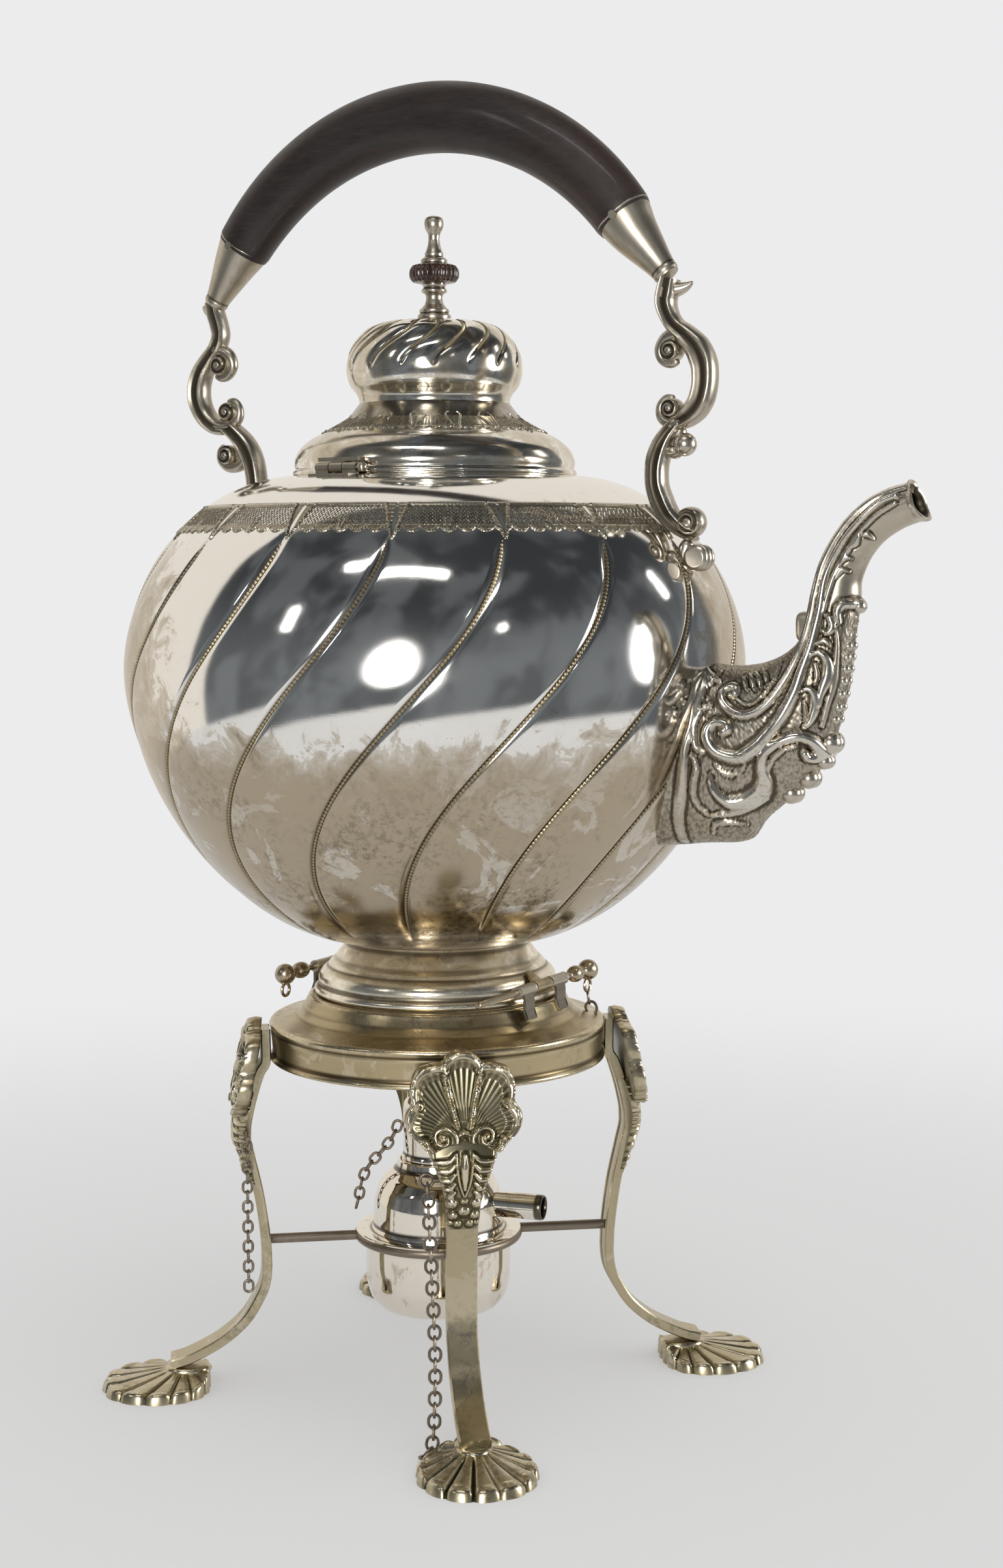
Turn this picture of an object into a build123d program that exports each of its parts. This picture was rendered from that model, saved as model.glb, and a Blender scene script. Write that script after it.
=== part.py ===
from build123d import *
import math
import os

# A silver-plated spirit kettle that tilts on a four-legged stand over a spirit burner.
# Millimetres. +Z is up, the floor is Z = 0, the kettle's axis is the Z axis, the spout points along +X.

# Heights of the stand, kettle and lid, each measured from the one below
RING_UNDERSIDE = 101.0
RING_HEIGHT = 20.0
FOOT_HEIGHT = 17.0
BELLY_RISE = 82.0
SHOULDER_RISE = 57.4
LID_HEIGHT = 46.8

# Kettle body
BODY_RADIUS = 93.5
BODY_WALL = 1.2
MOUTH_RADIUS = 38.5
FOOT_NECK_RADIUS = 27.0
FOOT_RADIUS = 37.6
FOOT_WALL = 1.6
LOWER_FULLNESS = 1.75
UPPER_FULLNESS = 1.9

# Lid and finial
LID_RADIUS = 42.6
LID_WALL = 1.0
LID_COLLAR_DEPTH = 4.0
LID_WAIST_RADIUS = 22.6
LID_DOME_RADIUS = 26.4
LID_FIT = 0.6
FINIAL_BASE_RADIUS = 4.8
FINIAL_STEM_HEIGHT = 10.4
FINIAL_DISC_RADIUS = 7.3
FINIAL_DISC_HEIGHT = 6.0
FINIAL_TOP_HEIGHT = 17.2
FINIAL_KNOB_RADIUS = 3.2
FINIAL_SCREW_RADIUS = 1.5
FINIAL_SCREW_TAIL = 1.0
FINIAL_NUT_RADIUS = 4.0
FINIAL_NUT_HEIGHT = 2.4

# Lid hinge, on the side away from the spout plane
LID_HINGE_ANGLE = -97.0
LID_HINGE_RADIUS = 1.5
LID_HINGE_PIN_RADIUS = 0.7
LID_HINGE_WIDTH = 15.0
LID_HINGE_GAP = 0.3
LID_HINGE_LIFT = 0.2
LID_LEAF_THICKNESS = 1.1
LID_LEAF_NECK = 1.4
LID_POST_DEPTH = 1.6
LID_POST_SHIFT = 0.4
LID_PAD_DEPTH = 4.0
LID_PAD_HEIGHT = 2.4
LID_PIN_OVERHANG = 0.8
LID_PIN_PLAY = 0.05

# Handle
GRIP_HALF_SPAN = 64.6
GRIP_ARC_RADIUS = 82.7
GRIP_CENTRE_DEPTH = 10.4
GRIP_CENTRE_WIDTH = 9.0
GRIP_END_DEPTH = 8.8
GRIP_END_WIDTH = 7.8
GRIP_SET_BACK = 3.0
GRIP_CREST = 106.0
TENON_LENGTH = 7.0
TENON_SHRINK = 2.4
FERRULE_LIP = 0.5
RIVET_RADIUS = 1.2
RIVET_STAND = 0.6
BRACKET_THICKNESS = 6.0
BRACKET_HALF_WIDTH = 2.5
SCROLL_EYE_STAND = 0.4
FERRULE_LEAN = 0.28
FERRULE_BEND_DISTANCE = 11.0
FERRULE_BEND_BULGE = 0.4
FERRULE_WAIST_BULGE = 1.2
FERRULE_FOOT_LIP = 0.5

# Spout
SPOUT_WALL = 1.6
SPOUT_PORT_RADIUS = 10.0
SPOUT_PORT_DROP = 21.0
SPOUT_PORT_RISE = 6.0

# Stand ring
RING_RADIUS = 51.5
RING_BORE_RADIUS = 33.0
RING_BAND_HEIGHT = 11.5
RING_WALL = 1.6
SEAT_MARGIN = 1.2

# Legs and feet
LEG_COUNT = 4
LEG_TURN = 38.5
LEG_WIDTH = 9.0
LEG_THICKNESS = 3.0
FOOT_APEX_REACH = 27.0
FOOT_LENGTH = 25.5
SCALLOP_COUNT = 9
SCALLOP_SPREAD = 128.0
SCALLOP_RADIUS = 3.0
FOOT_CREST = 9.0
FOOT_DOME_SHIFT = 8.5
FOOT_DOME_LENGTH = 13.5
FOOT_DOME_WIDTH = 12.5
FOOT_DOME_RISE = 0.6
SCALLOP_ROOT_RADIUS = 1.4
SCALLOP_ROOT_DROP = 2.2
SCALLOP_TIP_DROP = 0.4
SCALLOP_SIDE_SHORTENING = 0.36

# Tilt hinges and their pins
PIN_STANDOFF = 0.9
PIN_RISE = 5.5
PIN_RADIUS = 0.9
PIN_CLEARANCE = 0.08
KNUCKLE_RADIUS = 1.8
KNUCKLE_WIDTH = 29.0
KETTLE_KNUCKLE_WIDTH = 9.0
KNUCKLE_GAP = 0.4
KNUCKLE_SHIFT = 4.0
PIN_TAIL = 22.0
PIN_NECK = 15.5
PIN_COLLAR_RADIUS = 2.6
PIN_BALL_RADIUS = 3.3
PIN_COLLAR_BACK = 8.0
LEAF_LENGTH = 8.0
LEAF_THICKNESS = 1.3
LEAF_START = 0.25
LEAF_FLAT = 2.2
LEAF_FALL = 6.0
LEAF_ROOT = 9.0
WEB_SHIFT = 0.9
WEB_HEIGHT = 8.0
KETTLE_LEAF_DEPTH = 5.0
KETTLE_LEAF_SHIFT = 2.2
KETTLE_LEAF_RISE = 0.9
REAR_SLOT_DEPTH = 6.0
SOLDER_GAP = 0.02

# Burner cradle and burner
CRADLE_TOP = 46.4
CRADLE_WIRE_RADIUS = 1.5
RESERVOIR_RADIUS = 22.5
RESERVOIR_DEPTH = 27.0
RESERVOIR_WALL = 1.0
CRADLE_CLEARANCE = 0.5
BRIM_OVERHANG = 3.1
BRIM_THICKNESS = 0.9
BRIM_LIFT = 0.2
BURNER_DOME_RADIUS = 20.2
BURNER_DOME_HEIGHT = 21.6
COLLAR_RADIUS = 12.5
SOCKET_ANGLE = 12.0
SOCKET_RADIUS = 4.1
SOCKET_BORE_RADIUS = 3.1
SOCKET_REACH = 34.5
SOCKET_RISE = 8.6
SOCKET_DEPTH = 10.5
SOCKET_DRILL_POINT = 1.5
SOCKET_ROOT_DEPTH = 6.0
WICK_TUBE_RADIUS = 4.8
WICK_TUBE_WALL = 0.6
WICK_TUBE_HEIGHT = 12.0
WICK_TUBE_DEPTH = 9.0
WICK_CLEARANCE = 0.3
WICK_ABOVE = 3.0
WICK_FLOOR_GAP = 4.0
CAP_RADIUS = 10.8
CAP_WALL = 0.8
CAP_HEIGHT = 24.0
CAP_CLEARANCE = 0.3

# Chains
LINK_WIRE_RADIUS = 0.42
LINK_BEND_RADIUS = 1.55
LINK_STRAIGHT = 0.9
CHAIN_SLACK = 0.1
PIN_EYE_RADIUS = 1.9
PIN_EYE_WIRE_RADIUS = 0.52
PIN_EYE_SINK = 0.4
EYE_RADIUS = 1.9
EYE_WIRE_RADIUS = 0.5
EYE_STUB_RADIUS = 0.9
LEFT_CHAIN_END_SHARE = 0.3

# How far a cutting tool runs past what it cuts, and the distance at which two points are one
CUT_PAST = 1.0
SAME_POINT = 1e-6

# Heights worked out from the stack
SEAT_Z = RING_UNDERSIDE + RING_HEIGHT
BASE_Z = SEAT_Z + FOOT_HEIGHT
BELLY_Z = BASE_Z + BELLY_RISE
RIM_Z = BELLY_Z + SHOULDER_RISE
LID_TOP_Z = RIM_Z + LID_HEIGHT
PIN_X = FOOT_RADIUS + PIN_STANDOFF
PIN_Z = SEAT_Z + PIN_RISE
GRIP_CENTRE_Z = RIM_Z + GRIP_CREST - GRIP_ARC_RADIUS
LINK_PITCH = 2 * LINK_BEND_RADIUS + LINK_STRAIGHT - 2 * LINK_WIRE_RADIUS - CHAIN_SLACK


def turned(outline):
    """Revolve a closed outline of (radius, height) points or edges about the Z axis."""
    return revolve(make_face(outline), Axis.Z)


def flat(points):
    """Points of a radial section as vectors in the XZ plane."""
    return [Vector(radius, 0, height) for radius, height in points]


def full_turn(points, smooth=True):
    """Solid of revolution whose outer outline runs through the points, closed on the axis."""
    line = flat(points)
    curve = Spline(line) if smooth else Polyline(line)
    ends = [line[-1], Vector(0, 0, line[-1].Z), Vector(0, 0, line[0].Z), line[0]]
    closing = [Line(a, b) for a, b in zip(ends, ends[1:]) if (a - b).length > SAME_POINT]
    return turned([curve] + closing)


def cylinder(radius, bottom, top):
    """Upright cylinder on the kettle's axis between two heights."""
    height = top - bottom
    return Pos(0, 0, bottom + height / 2) * Cylinder(radius, height)


def bar(radius, start, end):
    """Round bar between two points."""
    start = Vector(start)
    along = Vector(end) - start
    return Solid.make_cylinder(radius, along.length, Plane(origin=start, z_dir=along))


def taper(start_radius, start, end_radius, end):
    """Round taper between two points."""
    start = Vector(start)
    along = Vector(end) - start
    return Solid.make_cone(start_radius, end_radius, along.length, Plane(origin=start, z_dir=along))


def ball(radius, centre):
    return Pos(*centre) * Sphere(radius)


def about_axis(angle, shape):
    """Turn a shape about the kettle's axis."""
    return Rot(0, 0, angle) * shape


def quarter(inner, belly, height, power, steps=7):
    """Quarter of a superellipse as (radius, rise) pairs, from the belly to the inner radius."""
    pairs = []
    for step in range(steps + 1):
        angle = math.pi / 2 * step / steps
        out = math.cos(angle) ** (2 / power)
        rise = math.sin(angle) ** (2 / power)
        pairs.append((inner + (belly - inner) * out, height * rise))
    return pairs


def globe(inset=0.0):
    """The kettle's outer form, filled, drawn in by the inset."""
    belly = BODY_RADIUS - inset
    low = quarter(FOOT_NECK_RADIUS - inset, belly, BELLY_RISE - inset, LOWER_FULLNESS)
    high = quarter(LID_RADIUS - inset, belly, SHOULDER_RISE - inset, UPPER_FULLNESS)
    outline = [(r, BELLY_Z - z) for r, z in reversed(low)] + [(r, BELLY_Z + z) for r, z in high[1:]]
    return full_turn(outline)


def kettle_body():
    shell = globe() - globe(BODY_WALL)
    shell -= cylinder(MOUTH_RADIUS, BELLY_Z, RIM_Z + CUT_PAST)
    port_start = (BODY_RADIUS / 2, 0, BELLY_Z - SPOUT_PORT_DROP)
    port_end = (BODY_RADIUS + SPOUT_PORT_RADIUS / 2, 0, BELLY_Z - SPOUT_PORT_DROP + SPOUT_PORT_RISE)
    return shell - bar(SPOUT_PORT_RADIUS, port_start, port_end)


def foot_outline(inset=0.0):
    """Outline of the kettle's pedestal from its bead up to its neck."""
    spread = FOOT_RADIUS - FOOT_NECK_RADIUS
    shares = [(0.93, 0.0), (1.0, 0.15), (0.87, 0.33), (0.73, 0.43), (0.52, 0.6), (0.24, 0.78), (0.04, 0.93), (0.0, 1.0)]
    return [(FOOT_NECK_RADIUS + spread * out - inset, SEAT_Z + FOOT_HEIGHT * up) for out, up in shares]


def kettle_foot():
    return full_turn(foot_outline()) - full_turn(foot_outline(FOOT_WALL))


# Spout: each section gives its reach from the belly, its height from the belly, the direction
# of the axis above the horizontal, and its half height and half width
SPOUT_SECTIONS = [
    (-21.0, -22.0, 0, 27.0, 15.5),
    (-8.0, -20.5, 10, 26.0, 15.5),
    (6.5, -17.0, 25, 23.0, 14.5),
    (17.0, -9.0, 45, 17.0, 12.5),
    (25.0, -1.0, 60, 12.0, 10.5),
    (30.0, 7.0, 75, 9.0, 9.0),
    (32.2, 15.0, 82, 8.2, 8.2),
    (34.8, 22.0, 79, 6.5, 7.0),
    (37.0, 29.0, 68, 5.9, 6.2),
    (40.5, 37.0, 58, 5.7, 6.0),
    (46.5, 43.3, 42, 5.7, 5.9),
    (53.5, 47.2, 28, 5.7, 5.9),
    (60.3, 49.6, 24, 5.8, 6.0),
]


def spout_form(inset=0.0):
    faces = []
    for reach, rise, slope, half_height, half_width in SPOUT_SECTIONS:
        turn = math.radians(slope)
        along = Vector(math.cos(turn), 0, math.sin(turn))
        across = Vector(-math.sin(turn), 0, math.cos(turn))
        plane = Plane(origin=(BODY_RADIUS + reach, 0, BELLY_Z + rise), x_dir=across, z_dir=along)
        faces.append(plane * Ellipse(half_height - inset, half_width - inset))
    return loft(faces)


def spout():
    reach, rise, slope, half_height, half_width = SPOUT_SECTIONS[-1]
    turn = math.radians(slope)
    mouth = Plane(
        origin=(BODY_RADIUS + reach, 0, BELLY_Z + rise),
        x_dir=(-math.sin(turn), 0, math.cos(turn)),
        z_dir=(math.cos(turn), 0, math.sin(turn)),
    )
    bore = mouth * Ellipse(half_height - SPOUT_WALL, half_width - SPOUT_WALL)
    opening = extrude(bore, amount=SPOUT_WALL + CUT_PAST, both=True)
    return spout_form() - spout_form(SPOUT_WALL) - opening - globe()


# Lid
def lid_outline(inset=0.0):
    """Two-tier lid from its rim up to the finial seat."""
    shares = [
        (LID_RADIUS, 0.0), (LID_RADIUS, 0.035), (LID_RADIUS - 0.4, 0.1), (LID_RADIUS - 1.8, 0.17),
        (LID_RADIUS - 6.4, 0.255), (LID_WAIST_RADIUS + 8.4, 0.305), (LID_WAIST_RADIUS + 2.4, 0.38),
        (LID_WAIST_RADIUS, 0.46), (LID_WAIST_RADIUS + 0.8, 0.525), (LID_DOME_RADIUS - 1.0, 0.58),
        (LID_DOME_RADIUS, 0.67), (LID_DOME_RADIUS - 1.2, 0.79), (LID_DOME_RADIUS - 6.0, 0.93),
        (LID_DOME_RADIUS - 14.0, 0.985), (FINIAL_BASE_RADIUS, 1.0),
    ]
    return [(radius - inset, RIM_Z + LID_HEIGHT * up - inset * up) for radius, up in shares]


def lid_shell():
    collar_radius = MOUTH_RADIUS - LID_FIT
    collar = cylinder(collar_radius, RIM_Z - LID_COLLAR_DEPTH, RIM_Z + LID_WALL)
    collar -= cylinder(collar_radius - LID_WALL, RIM_Z - LID_COLLAR_DEPTH - CUT_PAST, RIM_Z + LID_WALL + CUT_PAST)
    seat = cylinder(LID_RADIUS - LID_WALL / 2, RIM_Z, RIM_Z + LID_WALL)
    seat -= cylinder(collar_radius - LID_WALL, RIM_Z - CUT_PAST, RIM_Z + LID_WALL + CUT_PAST)
    shell = full_turn(lid_outline()) - full_turn(lid_outline(LID_WALL)) + seat + collar
    return shell - cylinder(FINIAL_SCREW_RADIUS, RIM_Z, LID_TOP_Z + CUT_PAST)


def finial_profile(bottom, shares, height, bore=FINIAL_SCREW_RADIUS):
    """Turned finial piece threaded on its central screw."""
    outline = [(radius, bottom + height * up) for radius, up in shares]
    piece = full_turn(outline)
    if bore:
        piece -= cylinder(bore, bottom - CUT_PAST, bottom + height + CUT_PAST)
    return piece


def finial_stem():
    base = FINIAL_BASE_RADIUS
    shares = [(base, 0.0), (base * 1.04, 0.12), (base * 0.9, 0.3), (base * 0.58, 0.48), (base * 0.52, 0.66),
              (base * 0.7, 0.8), (base * 0.77, 0.92), (base * 0.72, 1.0)]
    return finial_profile(LID_TOP_Z, shares, FINIAL_STEM_HEIGHT)


def finial_disc():
    radius = FINIAL_DISC_RADIUS
    shares = [(radius * 0.62, 0.0), (radius * 0.93, 0.2), (radius, 0.5), (radius * 0.93, 0.8), (radius * 0.62, 1.0)]
    return finial_profile(LID_TOP_Z + FINIAL_STEM_HEIGHT, shares, FINIAL_DISC_HEIGHT)


def finial_top():
    bottom = LID_TOP_Z + FINIAL_STEM_HEIGHT + FINIAL_DISC_HEIGHT
    knob = FINIAL_KNOB_RADIUS
    shares = [(knob * 1.22, 0.0), (knob * 1.28, 0.06), (knob * 0.91, 0.16), (knob * 0.88, 0.22), (knob * 0.53, 0.3),
              (knob * 0.5, 0.4), (knob * 0.75, 0.55), (knob, 0.72), (knob * 0.84, 0.9), (knob * 0.38, 1.0)]
    head = finial_profile(bottom, shares, FINIAL_TOP_HEIGHT, bore=0)
    screw_bottom = LID_TOP_Z - LID_WALL - FINIAL_NUT_HEIGHT - FINIAL_SCREW_TAIL
    return head + cylinder(FINIAL_SCREW_RADIUS, screw_bottom, bottom + CUT_PAST)


def finial_nut():
    top = LID_TOP_Z - LID_WALL
    nut = Pos(0, 0, top - FINIAL_NUT_HEIGHT) * extrude(RegularPolygon(FINIAL_NUT_RADIUS, 6), FINIAL_NUT_HEIGHT)
    nut -= cylinder(FINIAL_SCREW_RADIUS, top - FINIAL_NUT_HEIGHT - CUT_PAST, top + CUT_PAST)
    return nut - (full_turn(lid_outline()) - full_turn(lid_outline(LID_WALL)))


# Lid hinge, modelled on +X and turned to its place
LID_HINGE_X = LID_RADIUS + LID_HINGE_RADIUS + 0.5
LID_HINGE_Z = RIM_Z + LID_HINGE_RADIUS + LID_HINGE_LIFT


def lid_knuckle(low, high):
    return bar(LID_HINGE_RADIUS, (LID_HINGE_X, low, LID_HINGE_Z), (LID_HINGE_X, high, LID_HINGE_Z))


def lid_hinge_bore():
    reach = LID_HINGE_WIDTH
    return bar(LID_HINGE_PIN_RADIUS, (LID_HINGE_X, -reach, LID_HINGE_Z), (LID_HINGE_X, reach, LID_HINGE_Z))


def lid_hinge_upper():
    """Middle knuckle with a leaf that climbs onto the lid's skirt."""
    half = LID_HINGE_WIDTH / 6
    rise = LID_HINGE_RADIUS + LID_HINGE_GAP + LID_LEAF_THICKNESS / 2
    inner = MOUTH_RADIUS
    leaf = Pos((LID_HINGE_X + inner) / 2, 0, LID_HINGE_Z + rise)
    leaf *= Box(LID_HINGE_X - inner, LID_HINGE_WIDTH, LID_LEAF_THICKNESS)
    neck = Pos(LID_HINGE_X - LID_LEAF_NECK / 2, 0, LID_HINGE_Z + rise / 2)
    neck *= Box(LID_LEAF_NECK, 2 * half - LID_HINGE_GAP, rise)
    shape = lid_knuckle(-half + LID_HINGE_GAP / 2, half - LID_HINGE_GAP / 2) + neck + leaf
    shape = shape - full_turn(lid_outline()) - lid_hinge_bore()
    return about_axis(LID_HINGE_ANGLE, shape)


def lid_hinge_lower():
    """Two outer knuckles soldered on the body's shoulder, each on its own post."""
    half = LID_HINGE_WIDTH / 6
    outer = LID_HINGE_WIDTH / 2
    shape = None
    for low, high in ((-outer, -half - LID_HINGE_GAP / 2), (half + LID_HINGE_GAP / 2, outer)):
        depth = 2 * LID_HINGE_RADIUS
        post = Pos(LID_HINGE_X + LID_POST_SHIFT, (low + high) / 2, LID_HINGE_Z - depth / 2)
        post *= Box(LID_POST_DEPTH, high - low, depth)
        piece = lid_knuckle(low, high) + post
        shape = piece if shape is None else shape + piece
    pad = Pos(LID_HINGE_X + LID_POST_SHIFT + LID_PAD_DEPTH / 2, 0, LID_HINGE_Z - 2 * LID_HINGE_RADIUS)
    pad *= Box(LID_PAD_DEPTH, LID_HINGE_WIDTH, LID_PAD_HEIGHT)
    shape = shape + pad - globe() - lid_hinge_bore()
    return about_axis(LID_HINGE_ANGLE, shape)


def lid_hinge_pin():
    reach = LID_HINGE_WIDTH / 2 + LID_PIN_OVERHANG
    radius = LID_HINGE_PIN_RADIUS - LID_PIN_PLAY
    rod = bar(radius, (LID_HINGE_X, -reach, LID_HINGE_Z), (LID_HINGE_X, reach, LID_HINGE_Z))
    head = ball(LID_HINGE_RADIUS, (LID_HINGE_X, reach + LID_HINGE_RADIUS / 2, LID_HINGE_Z))
    return about_axis(LID_HINGE_ANGLE, rod + head)


# Handle: an arched grip between two ferrules on scrolled brackets
def grip_plane(angle, side=1):
    """Cross-section plane of the grip's arc at an angle from its crest, towards the given side."""
    turn = math.radians(angle)
    centre = (-GRIP_SET_BACK + side * GRIP_ARC_RADIUS * math.sin(turn), 0, GRIP_CENTRE_Z + GRIP_ARC_RADIUS * math.cos(turn))
    radial = (side * math.sin(turn), 0, math.cos(turn))
    along = (side * math.cos(turn), 0, -math.sin(turn))
    return Plane(origin=centre, x_dir=radial, z_dir=along)


GRIP_END_ANGLE = math.degrees(math.asin(GRIP_HALF_SPAN / GRIP_ARC_RADIUS))


def tenon(side):
    end = grip_plane(GRIP_END_ANGLE, side)
    return extrude(end * Ellipse(GRIP_END_DEPTH - TENON_SHRINK, GRIP_END_WIDTH - TENON_SHRINK), TENON_LENGTH)


def handle_grip():
    steps = 6
    faces = []
    for step in range(-steps, steps + 1):
        share = abs(step) / steps
        swell = 1 - share ** 2
        depth = GRIP_END_DEPTH + (GRIP_CENTRE_DEPTH - GRIP_END_DEPTH) * swell
        width = GRIP_END_WIDTH + (GRIP_CENTRE_WIDTH - GRIP_END_WIDTH) * swell
        faces.append(grip_plane(GRIP_END_ANGLE * step / steps) * Ellipse(depth, width))
    grip = loft(faces)
    for side in (1, -1):
        grip = grip + tenon(side) - rivet(side)
    return grip


def rivet(side):
    plane = grip_plane(GRIP_END_ANGLE, side)
    centre = plane.origin + plane.z_dir * (TENON_LENGTH / 2)
    half = GRIP_END_WIDTH + RIVET_STAND
    return bar(RIVET_RADIUS, (centre.X, -half, centre.Z), (centre.X, half, centre.Z))


# Brackets: centre line as (reach from the belly, height over the rim), then the scroll eyes
# as (reach, height, radius) and the balls in the same form
FRONT_LINE = [
    (-15.9, 55.1), (-17.6, 49.6), (-17.1, 43.6), (-14.0, 38.6), (-7.5, 33.6), (-4.7, 26.1), (-6.5, 17.1),
    (-11.0, 9.6), (-17.5, 4.1), (-21.0, -2.4), (-20.0, -8.9), (-14.5, -14.4), (-8.5, -18.9), (-5.5, -25.4),
    (-6.0, -30.0),
]
FRONT_EYES = [(-16.0, 35.6, 3.1), (-11.9, 53.5, 1.9), (-16.0, 19.1, 2.4), (-8.0, -17.4, 2.7), (-5.2, -25.4, 3.2)]
FRONT_BALLS = [(-11.8, 7.1, 3.6)]
REAR_LINE = [
    (-12.2, 55.1), (-13.9, 49.6), (-14.3, 43.6), (-12.0, 38.1), (-7.5, 33.6), (-6.2, 28.6), (-8.5, 22.6),
    (-13.5, 19.8), (-17.1, 15.1), (-19.0, 7.6), (-22.0, 0.1), (-25.5, -6.4), (-27.5, -10.4),
]
REAR_EYES = [(-15.2, 37.1, 3.3), (-8.7, 56.6, 1.9), (-17.0, 21.6, 2.4)]
REAR_BALLS = [(-17.3, 10.6, 3.4)]


def bracket(line, eyes, balls, side):
    """Cast scroll: a flat ribbon along the centre line, with round scroll eyes and balls."""
    middle = Spline([Vector(BODY_RADIUS + reach, 0, RIM_Z + rise) for reach, rise in line])
    steps = 4 * len(line)
    left, right = [], []
    for step in range(steps + 1):
        point = middle @ (step / steps)
        along = middle % (step / steps)
        across = Vector(-along.Z, 0, along.X) * BRACKET_HALF_WIDTH
        left.append(point + across)
        right.append(point - across)
    edges = [Spline(left), Line(left[-1], right[-1]), Spline(right), Line(right[0], left[0])]
    shape = extrude(make_face(edges), BRACKET_THICKNESS / 2, both=True)
    for reach, rise, radius in eyes:
        centre = Vector(BODY_RADIUS + reach, 0, RIM_Z + rise)
        half = Vector(0, BRACKET_THICKNESS / 2 + SCROLL_EYE_STAND, 0)
        shape += bar(radius, centre - half, centre + half)
        nearest = middle @ middle.param_at_point(middle.closest_points(Vertex(*centre))[0])
        shape += bar(min(radius, BRACKET_HALF_WIDTH) * 0.8, centre, nearest)
    for reach, rise, radius in balls:
        shape += ball(radius, (BODY_RADIUS + reach, 0, RIM_Z + rise))
    shape = shape - globe()
    if side < 0:
        shape = about_axis(180, shape)
    return shape


def bracket_top(line, side):
    """Point where the ferrule takes the bracket's head."""
    reach, rise = line[0]
    return Vector(side * (BODY_RADIUS + reach), 0, RIM_Z + rise)


def ferrule(line, side):
    """Tapered socket from the grip's end down to the bracket's head."""
    start = grip_plane(GRIP_END_ANGLE, side)
    foot = bracket_top(line, side)
    drop = Vector(-side * FERRULE_LEAN, 0, -1).normalized()
    across = Vector(side, 0, -FERRULE_LEAN).normalized()
    bend = start.origin + start.z_dir * FERRULE_BEND_DISTANCE + Vector(side * FERRULE_BEND_BULGE, 0, 0)
    middle = Plane(origin=bend, x_dir=start.x_dir, z_dir=start.z_dir)
    waist = (bend + foot) * 0.5 + Vector(side * FERRULE_WAIST_BULGE, 0, 0)
    turn_lower = (start.z_dir + drop).normalized()
    lower = Plane(origin=waist, x_dir=(Vector(0, 1, 0).cross(turn_lower) * side), z_dir=turn_lower)
    end = Plane(origin=foot, x_dir=across, z_dir=drop)
    faces = [
        start * Ellipse(GRIP_END_DEPTH + FERRULE_LIP, GRIP_END_WIDTH + FERRULE_LIP),
        middle * Ellipse(GRIP_END_DEPTH * 0.76, GRIP_END_WIDTH * 0.8),
        lower * Ellipse(GRIP_END_DEPTH * 0.48, GRIP_END_WIDTH * 0.54),
        end * Ellipse(BRACKET_HALF_WIDTH + FERRULE_FOOT_LIP, BRACKET_THICKNESS / 2 + FERRULE_FOOT_LIP),
    ]
    return loft(faces) - tenon(side) - rivet(side)


def seated_ferrule(line, side, head):
    """Ferrule with the bracket's head let into its lower end."""
    return ferrule(line, side) - head


# Stand ring
def ring_outer():
    band_top = RING_UNDERSIDE + RING_BAND_HEIGHT
    seat_edge = FOOT_RADIUS + SEAT_MARGIN
    drop = SEAT_Z - band_top
    spread = RING_RADIUS - seat_edge
    shoulder = [(0.0, 0.0), (0.12, 0.3), (0.32, 0.56), (0.62, 0.76), (0.88, 0.9), (1.0, 1.0)]
    points = flat([(seat_edge + spread * out, SEAT_Z - drop * down) for out, down in shoulder])
    edge = Spline(points)
    corner = Vector(RING_RADIUS, 0, RING_UNDERSIDE)
    rest = [points[-1], corner, Vector(0, 0, RING_UNDERSIDE), Vector(0, 0, SEAT_Z), points[0]]
    return turned([edge] + [Line(a, b) for a, b in zip(rest, rest[1:])])


def stand_ring():
    band_top = RING_UNDERSIDE + RING_BAND_HEIGHT
    inner = RING_RADIUS - RING_WALL
    seat_edge = FOOT_RADIUS - RING_WALL
    slope_foot = seat_edge + RING_WALL * 2
    hollow = full_turn([
        (inner, RING_UNDERSIDE - CUT_PAST), (inner, band_top - RING_WALL), (slope_foot, SEAT_Z - 4 * RING_WALL),
        (seat_edge, SEAT_Z - RING_WALL), (RING_BORE_RADIUS, SEAT_Z - RING_WALL),
    ], smooth=False)
    return ring_outer() - hollow - cylinder(RING_BORE_RADIUS, RING_UNDERSIDE, SEAT_Z + CUT_PAST)


# Legs: the strap's inner line as (reach from the ring, share of the height under the ring)
LEG_LINE = [
    (0.0, 1.122), (0.0, 1.0), (2.2, 0.955), (5.0, 0.861), (6.3, 0.777), (4.8, 0.698), (2.5, 0.594), (0.9, 0.485),
    (0.2, 0.391), (0.8, 0.317), (3.0, 0.262), (7.5, 0.193), (15.0, 0.13), (24.5, 0.09), (29.0, 0.08),
]


def leg_strap():
    """Flat strap bent in its radial plane, modelled on +X."""
    inner = Spline([Vector(RING_RADIUS + reach, 0, RING_UNDERSIDE * share) for reach, share in LEG_LINE])
    steps = 2 * len(LEG_LINE)
    outer = []
    for step in range(steps + 1):
        along = inner % (step / steps)
        outer.append(inner @ (step / steps) + Vector(-along.Z, 0, along.X) * LEG_THICKNESS)
    face = make_face([inner, Line(inner @ 1, outer[-1]), Spline(outer), Line(outer[0], inner @ 0)])
    return extrude(face, LEG_WIDTH / 2, both=True)


def leg():
    return leg_strap() - cylinder(RING_RADIUS, 0, SEAT_Z)


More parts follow.
